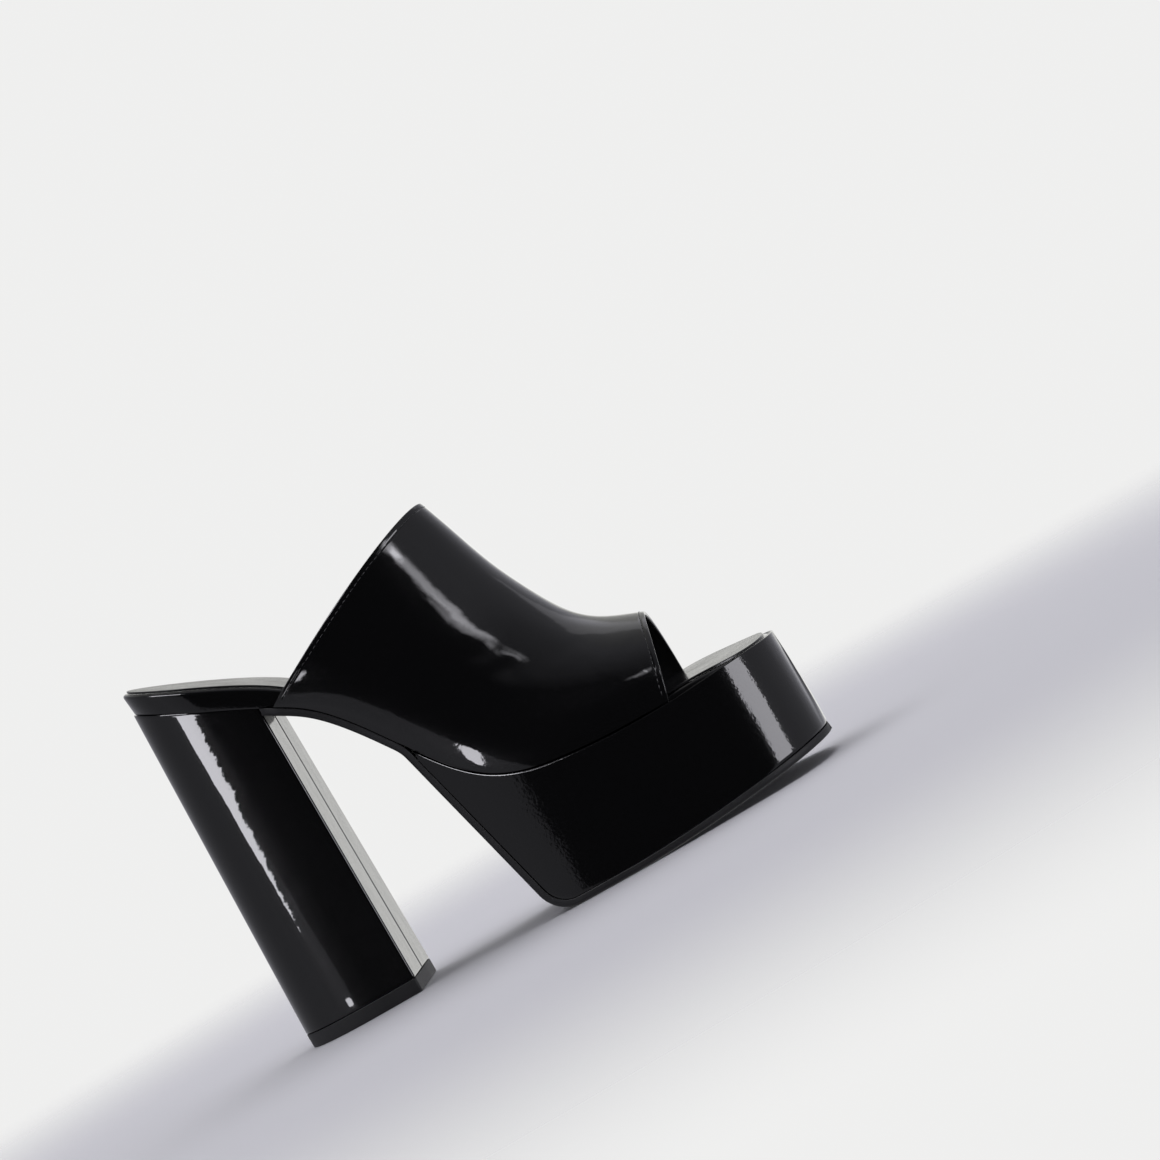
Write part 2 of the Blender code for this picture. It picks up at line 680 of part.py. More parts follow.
def build_upper(look):
    """One band over the foot, open at the collar, at the toe and underneath."""
    along, across = UPPER_LENGTH_STEPS + 1, 2 * UPPER_SIDE_STEPS + 1
    outer, inner = [], []
    for i in range(along):
        for j in range(across):
            u, v = i / (along - 1), j / (across - 1)
            point, normal = upper_point(u, v), upper_normal(u, v)
            outer.append(point)
            inner.append(tuple(p - n * UPPER_WALL for p, n in zip(point, normal)))
    shift = len(outer)

    def at(i, j, inside):
        return i * across + j + (shift if inside else 0)

    faces = []
    for i in range(along - 1):
        for j in range(across - 1):
            faces.append((at(i, j, 0), at(i + 1, j, 0), at(i + 1, j + 1, 0), at(i, j + 1, 0)))
            faces.append((at(i, j, 1), at(i, j + 1, 1), at(i + 1, j + 1, 1), at(i + 1, j, 1)))
        last = across - 1
        faces.append((at(i, 0, 0), at(i, 0, 1), at(i + 1, 0, 1), at(i + 1, 0, 0)))
        faces.append((at(i, last, 0), at(i + 1, last, 0), at(i + 1, last, 1), at(i, last, 1)))
    for j in range(across - 1):
        last = along - 1
        faces.append((at(0, j, 0), at(0, j + 1, 0), at(0, j + 1, 1), at(0, j, 1)))
        faces.append((at(last, j, 0), at(last, j, 1), at(last, j + 1, 1), at(last, j + 1, 0)))
    return add_object("upper", outer + inner, faces, look)


def material(name, look):
    made = bpy.data.materials.new(name)
    made.use_nodes = True
    shader = made.node_tree.nodes["Principled BSDF"]
    shader.inputs["Base Color"].default_value = look[0]
    shader.inputs["Roughness"].default_value = look[1]
    shader.inputs["Metallic"].default_value = 0.0
    return made


def move_to_bottom_centre(parts):
    """Puts the origin under the middle of the shoe, on the floor."""
    corners = [v.co for part in parts for v in part.data.vertices]
    middle = [(min(c[a] for c in corners) + max(c[a] for c in corners)) / 2 for a in range(2)]
    shoe = bpy.data.objects.new("shoe", None)
    bpy.context.scene.collection.objects.link(shoe)
    shoe.location = (-middle[0], -middle[1], 0.0)
    for part in parts:
        part.parent = shoe


def clear_scene():
    for old in list(bpy.data.objects):
        bpy.data.objects.remove(old, do_unlink=True)


def main():
    clear_scene()
    patent = material("patent_leather", PATENT)
    rubber = material("sole_rubber", RUBBER)
    sock = material("sock_leather", SOCK_LEATHER)
    parts = [
        build_heel(patent),
        build_top_piece(rubber),
        build_outsole(rubber),
        build_platform(patent),
        build_insole(patent),
        build_sock(sock),
        build_upper(patent),
    ]
    move_to_bottom_centre(parts)


main()
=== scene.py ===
import math

import bpy
import numpy as np
from mathutils import Matrix, Vector


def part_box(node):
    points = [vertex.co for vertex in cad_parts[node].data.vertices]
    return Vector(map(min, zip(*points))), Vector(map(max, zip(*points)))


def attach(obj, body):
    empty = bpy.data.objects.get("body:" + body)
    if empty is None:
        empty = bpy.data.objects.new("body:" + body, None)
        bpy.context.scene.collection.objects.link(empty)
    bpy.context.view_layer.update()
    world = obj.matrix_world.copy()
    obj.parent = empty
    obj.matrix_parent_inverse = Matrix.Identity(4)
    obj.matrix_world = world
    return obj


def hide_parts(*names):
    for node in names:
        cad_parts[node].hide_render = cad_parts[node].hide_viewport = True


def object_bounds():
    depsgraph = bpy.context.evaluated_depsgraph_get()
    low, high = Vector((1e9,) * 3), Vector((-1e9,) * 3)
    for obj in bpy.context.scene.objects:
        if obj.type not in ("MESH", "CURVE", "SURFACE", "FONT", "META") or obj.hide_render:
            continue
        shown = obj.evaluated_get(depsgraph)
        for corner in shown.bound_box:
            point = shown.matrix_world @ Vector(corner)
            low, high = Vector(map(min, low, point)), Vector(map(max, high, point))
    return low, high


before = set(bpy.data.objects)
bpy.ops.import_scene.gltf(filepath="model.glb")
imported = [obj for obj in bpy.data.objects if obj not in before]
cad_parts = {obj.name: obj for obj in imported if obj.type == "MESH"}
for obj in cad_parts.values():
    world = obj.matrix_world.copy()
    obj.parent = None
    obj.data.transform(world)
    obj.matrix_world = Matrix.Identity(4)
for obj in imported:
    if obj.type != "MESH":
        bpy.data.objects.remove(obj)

CAD_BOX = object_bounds()
MM = 0.001

# Overall sizes of the shoe, as in the solids. x runs from the heel's back towards the toe.
SHOE_LENGTH = 219.6 * MM
SEAT_HEIGHT = 136.2 * MM
PLATFORM_TOP = 46.1 * MM
BALL_WIDTH = 81.0 * MM
SEAT_WIDTH = 54.0 * MM
INSTEP_RISE = 103.8 * MM
TOE_OPENING_RISE = 30.8 * MM
COLLAR_SETBACK = 53.0 * MM
TOE_OPENING_FORWARD = 177.8 * MM

# Layers
UPPER_WALL = 1.8 * MM
OUTSOLE_THICKNESS = 2.7 * MM
SEAT_THICKNESS = 8.4 * MM
FOREPART_THICKNESS = 2.5 * MM
SOCK_THICKNESS = 0.8 * MM
SOCK_MARGIN = 2.0 * MM
TOP_PIECE_THICKNESS = 5.3 * MM
CLEARANCE = 0.3 * MM

# Outline of the sole
SEAT_SETBACK = 3.5 * MM
SEAT_ROUND = 27.0 * MM
SEAT_SQUARENESS = 2.1
TOE_ROUND = 28.0 * MM
TOE_SQUARENESS = 2.5
TOE_MARGIN = 5.6 * MM
PLATFORM_LEDGE = 0.8 * MM
LEDGE_STRETCH = (0.372, 0.415)
PLATFORM_FLARE = 1.6 * MM
TOE_SPRING = 7.2 * MM
FLAT_END = 136.0 * MM
TOE_SPRING_POWER = 1.6
BREAST_FOOT = 106.3 * MM
BREAST_ANGLE = math.radians(75.2)
BREAST_TOP_RADIUS = 16.0 * MM
BREAST_FOOT_RADIUS = 10.0 * MM

# Heel
TOP_PIECE_LENGTH = 48.1 * MM
TOP_PIECE_WIDTH = 54.6 * MM
TOP_PIECE_ROUND = 33.0 * MM
BREAST_SETBACK = 47.4 * MM
HEEL_CORNER_RADIUS = 0.9 * MM
HEEL_HEAD_TAPER = 0.10

# Rounded edges
INSOLE_EDGE_RADIUS = 1.6 * MM
PLATFORM_EDGE_RADIUS = 0.7 * MM
PLATFORM_LEAST_HEIGHT = 3.6 * MM
TREAD_EDGE_RADIUS = 1.5 * MM
TOP_PIECE_EDGE_RADIUS = 0.5 * MM
TOE_RIM_RISE = 1.3 * MM  # how far the platform's rim stands up round the toe
TOE_RIM_STRETCH = (168.0 * MM, 206.0 * MM)
TOE_RIM_WIDTH = 1.5 * MM
TOE_WALL_BULGE = 0.9 * MM  # how far the platform's wall stands forward at the toe's tip
INSOLE_TOE_TILT = 0.02  # rise of the insole's top towards the far side, at the toe
INSOLE_TILT_STRETCH = (150.0 * MM, 180.0 * MM)
INSOLE_TIP_DROP = 1.7 * MM
INSOLE_DROP_STRETCH = (184.0 * MM, 212.0 * MM)
INSOLE_TIP_REACH = 2.1 * MM  # how far the insole's tip stretches forward to the rim
FLARE_STRETCH = (68.0 * MM, 120.0 * MM)
COVER_TUCK = 0.35 * MM  # how far a leather cover turns in at its lower edge
INSOLE_TAPER = 0.55 * MM  # how far the insole band leans in at its lower edge
INSOLE_SEAT = 0.9  # share of its clearance that the insole's cover fills, so no light gets under

# Form of the upper
ROLL_REACH = 5.5 * MM
CROWN_ARCH = 0.45
MEDIAL_TOE_BOW = 0.007  # how much less the far side of the toe opening bows forward

LATERAL, MEDIAL = -1, 1

# along: share of SHOE_LENGTH. drop: share of the fall from seat to platform still to come.
# thickness: share of the change from FOREPART_THICKNESS to SEAT_THICKNESS.
FEATHER_ROWS = (
    # along, drop, thickness
    (0.016, 1.000, 1.00),
    (0.106, 0.901, 1.00),
    (0.199, 0.793, 0.98),
    (0.244, 0.735, 0.90),
    (0.290, 0.660, 0.70),
    (0.336, 0.542, 0.45),
    (0.382, 0.392, 0.33),
    (0.429, 0.238, 0.25),
    (0.476, 0.127, 0.12),
    (0.522, 0.065, 0.05),
    (0.614, 0.018, 0.00),
    (0.704, 0.002, 0.00),
    (0.793, 0.000, 0.00),
    (0.882, 0.003, 0.00),
    (0.973, 0.010, 0.00),
)

# seat: how far the width follows SEAT_WIDTH and not BALL_WIDTH.
# lateral, medial: shares of half that width.
OUTLINE_ROWS = (
    # along, seat, lateral, medial
    (0.016, 1.00, 1.000, 0.985),
    (0.115, 1.00, 1.000, 0.985),
    (0.207, 1.00, 1.005, 0.975),
    (0.299, 0.97, 0.975, 0.895),
    (0.391, 0.84, 1.010, 0.865),
    (0.483, 0.50, 1.045, 0.880),
    (0.575, 0.15, 1.030, 0.935),
    (0.667, 0.00, 1.010, 0.980),
    (0.759, 0.00, 0.990, 1.005),
    (0.851, 0.00, 0.930, 0.985),
    (0.974, 0.00, 0.830, 0.910),
)

# Sections of the upper from the collar to the toe opening, in the shares of the solids.
UPPER_ROWS = (
    # foot, skew, top, rise, ridge, roll, side, breadth, lean, bow
    (0.000, 0.000, 0.5975, 1.000, 0.030, 0.040, 0.60, 0.82, 0.022, -0.019),
    (0.122, 0.000, 0.6190, 0.820, 0.032, 0.054, 0.59, 0.78, 0.030, -0.016),
    (0.245, 0.000, 0.6455, 0.597, 0.032, 0.056, 0.58, 0.74, 0.034, -0.012),
    (0.380, 0.000, 0.6785, 0.387, 0.030, 0.040, 0.57, 0.70, 0.030, -0.006),
    (0.525, 0.001, 0.7150, 0.205, 0.026, 0.020, 0.56, 0.67, 0.022, 0.000),
    (0.672, 0.004, 0.7520, 0.100, 0.020, 0.010, 0.55, 0.64, 0.016, 0.004),
    (0.830, 0.008, 0.7870, 0.045, 0.014, 0.006, 0.54, 0.62, 0.012, 0.005),
    (1.000, 0.012, 0.8240, 0.000, 0.008, 0.004, 0.53, 0.60, 0.008, 0.006),
)

# Soft creases and dents of the upper.
# side: LATERAL or MEDIAL. along: share of the way from collar to toe opening.
# up: share of the way from foot to ridge. reach, width: half-length and half-width in mm.
# turn: degrees from running lengthwise. depth: mm, a ridge where negative.
CREASE_ROWS = (
    # side, along, up, reach, width, turn, depth
    (LATERAL, 0.465, 0.475, 6.5, 5.0, 10.0, 0.42),
    (LATERAL, 0.375, 0.480, 8.0, 5.0, 40.0, 0.30),
    (LATERAL, 0.560, 0.560, 12.0, 5.0, 35.0, 0.22),
    (LATERAL, 0.660, 0.600, 12.0, 4.5, 30.0, -0.12),
    (LATERAL, 0.300, 0.220, 12.0, 5.0, 20.0, 0.10),
    (MEDIAL, 0.450, 0.480, 14.0, 5.0, 50.0, 0.34),
    (MEDIAL, 0.550, 0.580, 12.0, 4.5, 42.0, -0.18),
    (MEDIAL, 0.640, 0.480, 13.0, 5.0, 58.0, 0.26),
    (MEDIAL, 0.280, 0.250, 13.0, 5.0, 18.0, 0.16),
    (MEDIAL, 0.900, 0.300, 6.0, 4.0, 82.0, 0.20),
)

# Edges of the upper
RIM_SQUARENESS = 0.5  # 1 rounds the rim fully, 0 leaves it square
RIM_REACH = 0.6  # how far the rim stands out, as a share of half the wall
SEAM_INSET = 1.5 * MM  # edge to the row of stitches
SEAM_WIDTH = 0.35 * MM
SEAM_DEPTH = 0.09 * MM
EDGE_PUFF = 0.05 * MM
STITCH_LENGTH = 1.7 * MM
STITCH_GAP = 0.7 * MM
THREAD_RADIUS = 0.13 * MM

# Seam down the breast of the heel
BREAST_SEAM_DEPTH = 0.5 * MM
BREAST_SEAM_WIDTH = 0.45 * MM

# How finely the forms are drawn
LENGTH_STEPS = 190
GIRTH_STEPS = 200
EDGE_CROWDING = 0.62
WALL_STEPS = 12
FINE_STATION = 0.9 * MM
FINE_PATH = 0.7 * MM
FINE_ARC = 0.5 * MM
FINE_END_STEPS = 56
FINE_ROUND_STEPS = 6
HEEL_LEVELS = 70
BREAST_STEPS = 90
OUTLINE_SAMPLES = 900
END_CAP = 0.06 * MM  # the solids stop this short of their tips
FINE_CAP = 0.004 * MM  # and the covers this short
LEAST_SHARE = 0.5
PULL_POWER = 9
CROWD_AT_FOOT = 1.25
FOOT_BLEND = 14.0

# The photo's camera, beside the shoe's lateral side and rolled
CAMERA_PLACE = (258.0 * MM, -1429.0 * MM, 101.0 * MM)
CAMERA_AIM = (-0.0636, 1.0, -0.0022)
CAMERA_ROLL = math.radians(30.0)
FOCAL_PIXELS = 4000.0
PHOTO_PIXELS = 1160.0
SENSOR = 36.0

# Brightness of the room's walls round the shoe, at eye level and high up, against degrees
# from the camera's side. The dark stretch is the room behind the camera.
ROOM_LEVELS = (
    # azimuth, level
    (-180.0, 0.86),
    (-170.0, 0.60),
    (-160.0, 0.33),
    (-150.0, 0.27),
    (-120.0, 0.24),
    (-90.0, 0.30),
    (-60.0, 0.40),
    (-29.6, 0.33),
    (-28.9, 0.045),
    (41.0, 0.045),
    (43.0, 0.40),
    (75.0, 0.42),
    (105.0, 0.34),
    (125.0, 0.27),
    (150.0, 0.33),
    (163.0, 0.50),
    (172.0, 0.84),
    (180.0, 0.86),
)
HIGH_LEVELS = (
    # azimuth, level
    (-180.0, 0.34),
    (-90.0, 0.26),
    (-32.0, 0.20),
    (-24.0, 0.05),
    (14.0, 0.05),
    (30.0, 0.18),
    (60.0, 0.26),
    (120.0, 0.33),
    (180.0, 0.34),
)
MIDDLE_BACK = 0.42  # the wall behind the shoe, above the white backdrop
BACKDROP_TOP, BACKDROP_FADED = 4.0, 15.0
HIGH_START, HIGH_FULL = 30.0, 44.0
ROOM_TINT = (0.97, 0.97, 1.06)
WALL_TINT = (1.0, 1.0, 0.97)
BACKDROP = (0.865, 0.865, 0.86, 1.0)

SOFTBOX_TINT = (0.95, 0.94, 1.0)
SOFTBOXES = (
    # name, aimed at (x, y, z in mm), azimuth, elevation, distance, width, height, radiance,
    # roll, share of its edge that fades, pieces lit
    ("heel_softbox", (22, 0, 80), -27.7, 10.2, 1.5, 1.02, 0.50, 13.0, 14.5, 0.06, ("heel_cover",)),
    ("toe_softbox", (200, 0, 27), 57.0, 3.0, 1.5, 0.70, 0.75, 6.0, 0.0, 0.1, ()),
    ("upper_softbox", (120, 0, 120), 44.0, 29.0, 1.5, 0.30, 0.46, 4.6, 45.0, 0.8, ("upper_leather",)),
    ("high_softbox", (80, 0, 90), -40.0, 52.0, 1.5, 1.1, 0.42, 12.0, 0.0, 0.1, ()),
    ("back_softbox", (150, 0, 75), 150.0, 38.0, 1.5, 0.95, 0.85, 0.32, 0.0, 0.25, ()),
)
GLINTS = (
    # The same columns, for small round lights close to the shoe
    ("hook_glint", (116.6, -23.2, 138.0), 45.0, 27.4, 0.05, 0.012, 0.009, 8.0, 0.0, 0.8,
     ("upper_leather",)),
    ("waist_glint", (106, -38, 63.5), -37.0, -7.0, 0.15, 0.016, 0.080, 12.0, -39.0, 0.2,
     ("upper_leather",)),
    ("fold_glint", (127, -29.3, 101.8), 41.0, 32.4, 0.15, 0.030, 0.026, 1.9, 20.0, 1.0,
     ("upper_leather",)),
    ("dent_glint", (135, -32.5, 87.5), 33.0, 37.5, 0.15, 0.020, 0.022, 2.4, 30.0, 1.0,
     ("upper_leather",)),
    ("toe_glint", (176, -38.4, 60.5), 13.0, 51.0, 0.03, 0.0018, 0.006, 4.5, 0.0, 1.0,
     ("upper_leather",)),
    ("collar_glint", (60.2, -27.6, 126.9), -4.0, -14.0, 0.04, 0.0035, 0.012, 9.0, -44.0, 0.5,
     ("upper_leather",)),
    ("bead_glint", (88, -41, 64), 60.0, 48.0, 0.035, 0.034, 0.02, 20.0, 0.0, 0.5,
     ("platform_cover",)),
    ("heel_glint", (23, -25, 9.5), -34.0, -3.0, 0.12, 0.018, 0.0034, 12.0, 0.0, 0.4,
     ("heel_cover",)),
)

BACK_OF_HEEL = CAD_BOX[0].x - END_CAP
SHOE_MIDDLE_Y = (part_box("heel")[0].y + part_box("heel")[1].y) / 2


class Spline:
    """Natural cubic curves over one column of a table, which run on straight past the ends."""

    def __init__(self, xs, ys):
        self.xs, self.ys = np.array(xs, float), np.array(ys, float)
        count = len(xs)
        gaps = np.diff(self.xs)
        slopes = np.diff(self.ys) / gaps
        matrix, right = np.eye(count), np.zeros(count)
        for i in range(1, count - 1):
            matrix[i, i - 1 : i + 2] = gaps[i - 1], 2 * (gaps[i - 1] + gaps[i]), gaps[i]
            right[i] = 6 * (slopes[i] - slopes[i - 1])
        self.bend = np.linalg.solve(matrix, right)
        self.start = slopes[0] - gaps[0] * self.bend[1] / 6
        self.end = slopes[-1] + gaps[-1] * self.bend[-2] / 6

    def __call__(self, x):
        xs, ys, bend = self.xs, self.ys, self.bend
        inside = np.clip(x, xs[0], xs[-1])
        i = np.clip(np.searchsorted(xs, inside, side="right") - 1, 0, len(xs) - 2)
        gap = xs[i + 1] - xs[i]
        left, right = inside - xs[i], xs[i + 1] - inside
        value = (bend[i] * right**3 + bend[i + 1] * left**3) / (6 * gap)
        value = value + (ys[i] / gap - bend[i] * gap / 6) * right
        value = value + (ys[i + 1] / gap - bend[i + 1] * gap / 6) * left
        value = value + self.start * np.minimum(x - xs[0], 0)
        return value + self.end * np.maximum(x - xs[-1], 0)


def table(rows):
    columns = list(zip(*rows))
    return [Spline(columns[0], column) for column in columns[1:]]


def ease(x, start, end):
    share = np.clip((x - start) / (end - start), 0, 1)
    return share * share * (3 - 2 * share)


DROP, THICKNESS = table(FEATHER_ROWS)
SEAT_SHARE, LATERAL_SHARE, MEDIAL_SHARE = table(OUTLINE_ROWS)
INSOLE_BACK = SEAT_SETBACK
INSOLE_FRONT = SHOE_LENGTH - TOE_MARGIN


def feather(x):
    """Height of the insole's underside."""
    return PLATFORM_TOP + DROP(x / SHOE_LENGTH) * (SEAT_HEIGHT - PLATFORM_TOP)


def insole_top(x):
    share = THICKNESS(x / SHOE_LENGTH)
    return feather(x) + FOREPART_THICKNESS + share * (SEAT_THICKNESS - FOREPART_THICKNESS)


def end_round(distance, length, power):
    left = 1 - np.clip(distance, 0, length) / length
    return (1 - left**power) ** (1 / power)


def insole_half(x, side):
    along = x / SHOE_LENGTH
    seat = SEAT_SHARE(along)
    width = seat * SEAT_WIDTH + (1 - seat) * BALL_WIDTH
    share = LATERAL_SHARE(along) if side == LATERAL else MEDIAL_SHARE(along)
    back = end_round(x - INSOLE_BACK, SEAT_ROUND, SEAT_SQUARENESS)
    front = end_round(INSOLE_FRONT - x, TOE_ROUND, TOE_SQUARENESS)
    return share * width / 2 * back * front


class Outline:
    """The insole's outline moved outwards by a distance that may change along the shoe."""

    def __init__(self, distance):
        self.distance = distance
        self.sides = {side: self.moved(side) for side in (LATERAL, MEDIAL)}
        self.back = INSOLE_BACK - float(distance(INSOLE_BACK))
        self.front = INSOLE_FRONT + float(distance(INSOLE_FRONT))

    def moved(self, side):
        turn = np.linspace(0, math.pi, OUTLINE_SAMPLES)
        x = INSOLE_BACK + (INSOLE_FRONT - INSOLE_BACK) * (1 - np.cos(turn)) / 2
        y = insole_half(x, side)
        dx, dy = np.gradient(x), np.gradient(y)
        dx[0] = dx[-1] = 0.0
        dy[0], dy[-1] = 1.0, -1.0
        length = np.hypot(dx, dy)
        distance = self.distance(x)
        return x - dy / length * distance, y + dx / length * distance

    def half(self, x, side):
        xs, ys = self.sides[side]
        return np.interp(x, xs, ys)


def upper_offset(x):
    start = COLLAR_SETBACK - 2 * (UPPER_WALL + CLEARANCE)
    return (UPPER_WALL + CLEARANCE) * ease(x, start, COLLAR_SETBACK)


def platform_offset(x):
    start, end = (share * SHOE_LENGTH for share in LEDGE_STRETCH)
    return upper_offset(x) + PLATFORM_LEDGE * ease(x, start, end)


INSOLE_OUTLINE = Outline(lambda x: 0.0 * x)
SOCK_OUTLINE = Outline(lambda x: 0.0 * x - SOCK_MARGIN)
UPPER_FOOT = Outline(upper_offset)
PLATFORM_OUTLINE = Outline(platform_offset)
FLARED_OUTLINE = Outline(lambda x: platform_offset(x) + PLATFORM_FLARE)


def even(start, end, step):
    count = max(1, round(abs(end - start) / step))
    return np.linspace(start, end, count, endpoint=False)


def end_stations(tip, inwards, length):
    """Stations near a round end, closer together towards its tip."""
    turn = np.linspace(0, math.pi / 2, FINE_END_STEPS, endpoint=False)
    return tip + inwards * (FINE_CAP + (length - FINE_CAP) * (1 - np.cos(turn)))


def stations(outline):
    middle = even(outline.back + SEAT_ROUND, outline.front - TOE_ROUND, FINE_STATION)
    back = end_stations(outline.back, 1, SEAT_ROUND)
    front = end_stations(outline.front, -1, TOE_ROUND)[::-1]
    return np.concatenate([back, middle, front])


def pulled_in(half, inset):
    """A half-width less its inset. Near a tip the inset shrinks, so that no sides cross."""
    return np.maximum(half - inset, half * LEAST_SHARE ** (inset / MM))


def toe_tilt(x):
    return INSOLE_TOE_TILT * ease(x, *INSOLE_TILT_STRETCH)


def ring(outline, xs, height, inset=0.0, top=False):
    """Rows of a layer's outline: x, y of both sides, z of both sides.

    An inset pulls the sides and ends in. A ring on the insole's top follows its tilt at the toe.
    """
    middle, reach = (outline.back + outline.front) / 2, (outline.front - outline.back) / 2
    pull = np.clip((xs - middle) / reach, -1, 1) ** PULL_POWER
    x = xs - inset * pull
    low, high = (outline.half(xs, side) for side in (LATERAL, MEDIAL))
    low, high = pulled_in(low, inset), pulled_in(high, inset)
    z, tilt = height(x), toe_tilt(x) * top
    x = x + INSOLE_TIP_REACH * ease(xs, outline.front - TOE_ROUND, outline.front)
    z = z - INSOLE_TIP_DROP * ease(x, *INSOLE_DROP_STRETCH) * top
    return np.stack([x, -low, high, z - tilt * low, z + tilt * high])


def make_object(name, vertices, faces, slots=None):
    """A smooth mesh in the row's frame, from vertices measured from the heel's back."""
    mesh = bpy.data.meshes.new(name)
    placed = np.asarray(vertices, float) + np.array([BACK_OF_HEEL, SHOE_MIDDLE_Y, 0.0])
    mesh.from_pydata(placed.tolist(), [], [list(map(int, face)) for face in faces])
    if slots is not None:
        mesh.polygons.foreach_set("material_index", np.asarray(slots, dtype=np.int32))
    mesh.update()
    mesh.shade_smooth()
    mesh.set_sharp_from_angle(angle=math.radians(38))
    made = bpy.data.objects.new(name, mesh)
    bpy.context.scene.collection.objects.link(made)
    return made


def slab_mesh(name, rings):
    """A closed layer from rings listed from its underside to its top, as in the solids."""
    count = rings[0].shape[1]
    vertices = []
    for x, low, high, *zs in rings:
        vertices += [np.stack([x, low, zs[0]], 1), np.stack([x, high, zs[-1]], 1)]
    vertices = np.concatenate(vertices)

    def at(level, side, i):
        return (level * 2 + side) * count + i

    top, last = len(rings) - 1, count - 1
    faces = []
    for i in range(last):
        faces.append((at(0, 0, i), at(0, 1, i), at(0, 1, i + 1), at(0, 0, i + 1)))
        faces.append((at(top, 0, i), at(top, 0, i + 1), at(top, 1, i + 1), at(top, 1, i)))
        for low in range(top):
            high = low + 1
            faces.append((at(low, 0, i), at(low, 0, i + 1), at(high, 0, i + 1), at(high, 0, i)))
            faces.append((at(low, 1, i), at(high, 1, i), at(high, 1, i + 1), at(low, 1, i + 1)))
    for low in range(top):
        high = low + 1
        faces.append((at(low, 0, 0), at(high, 0, 0), at(high, 1, 0), at(low, 1, 0)))
        faces.append((at(low, 0, last), at(low, 1, last), at(high, 1, last), at(high, 0, last)))
    return make_object(name, vertices, faces)


def rounded_levels(radius, support=0.25 * MM):
    """(inset, depth) of each ring of a rounded edge, and one on the face to hold its form."""
    turn = np.linspace(0, math.pi / 2, FINE_ROUND_STEPS + 1)
    levels = list(zip(radius * (1 - np.cos(turn)), radius * (1 - np.sin(turn))))
    return [(0.0, radius + support)] + levels + [(radius + support, 0.0)]


def arc(corner, before, after, radius):
    """Points of the arc that rounds a corner between two unit directions."""
    corner, before, after = (np.array(p, float) for p in (corner, before, after))
    turn = math.acos(float(np.clip(before @ after, -1, 1)))
    start = corner - before * radius * math.tan(turn / 2)
    hand = 1 if before[0] * after[1] - before[1] * after[0] > 0 else -1
    centre = start + np.array([-before[1], before[0]]) * hand * radius
    angle = hand * np.linspace(0, turn, max(3, round(radius * turn / FINE_ARC)) + 1)
    dx, dz = start - centre
    x = centre[0] + dx * np.cos(angle) - dz * np.sin(angle)
    return np.stack([x, centre[1] + dx * np.sin(angle) + dz * np.cos(angle)], 1)


def tread_height(x):
    share = np.maximum(0, (x - FLAT_END) / (SHOE_LENGTH - FLAT_END))
    return OUTSOLE_THICKNESS + TOE_SPRING * share**TOE_SPRING_POWER


def sole_path():
    """Inside of the outsole from the heel's breast to the toe, as rows of x and z."""
    down = (math.cos(BREAST_ANGLE), -math.sin(BREAST_ANGLE))
    foot = (BREAST_FOOT, OUTSOLE_THICKNESS)
    low, high = BREAST_SETBACK, BREAST_FOOT
    for _ in range(50):
        middle = (low + high) / 2
        line = foot[0] - (feather(middle) - foot[1]) * down[0] / -down[1]
        low, high = (middle, high) if line > middle else (low, middle)
    slope = (feather(low) - feather(low - MM)) / MM
    length = math.hypot(1, slope)
    corner = (low, feather(low) - CLEARANCE)
    top_arc = arc(corner, (1 / length, slope / length), down, BREAST_TOP_RADIUS)
    foot_arc = arc(foot, down, (1.0, 0.0), BREAST_FOOT_RADIUS)
    xs = even(BREAST_SETBACK + CLEARANCE, top_arc[0, 0], FINE_PATH)
    waist = np.stack([xs, feather(xs) - CLEARANCE], 1)
    steps = round(math.dist(top_arc[-1], foot_arc[0]) / FINE_PATH)
    breast = np.linspace(top_arc[-1], foot_arc[0], steps, endpoint=False)[1:]
    toe = end_stations(PLATFORM_OUTLINE.front + PLATFORM_FLARE, -1, TOE_ROUND)[::-1]
    xs = np.concatenate([even(foot_arc[-1, 0], toe[0], FINE_STATION)[1:], toe])
    tread = np.stack([xs, tread_height(xs)], 1)
    return np.concatenate([waist, top_arc, breast, foot_arc, tread])


def moved_path(path, distance):
    """The path moved sideways, downwards and to the back where the distance is positive."""
    ahead = np.concatenate([path[1:], path[-1:]])
    behind = np.concatenate([path[:1], path[:-1]])
    step = ahead - behind
    length = np.hypot(step[:, 0], step[:, 1])
    moved = path + np.stack([step[:, 1], -step[:, 0]], 1) / length[:, None] * distance
    moved[0] = path[0, 0], path[0, 1] - length[0] / step[0, 0] * distance
    return moved


SOLE_PATH = sole_path()


def sole_ring(points, inset=0.0):
    """Outline of a layer that follows the sole's path, with the platform's flare."""
    x, z = points[:, 0], points[:, 1]
    height = np.maximum(feather(x) - tread_height(x), MM)
    share = np.clip((feather(x) - z) / height, 0, 1) * ease(x, *FLARE_STRETCH)
    halves = []
    for side in (LATERAL, MEDIAL):
        narrow = np.where(x <= PLATFORM_OUTLINE.front, PLATFORM_OUTLINE.half(x, side), 0.0)
        full = FLARED_OUTLINE.half(np.minimum(x, FLARED_OUTLINE.front - FINE_CAP), side)
        half = narrow + (full - narrow) * share
        halves.append(pulled_in(half, inset))
    return np.stack([x, -halves[0], halves[1], z])


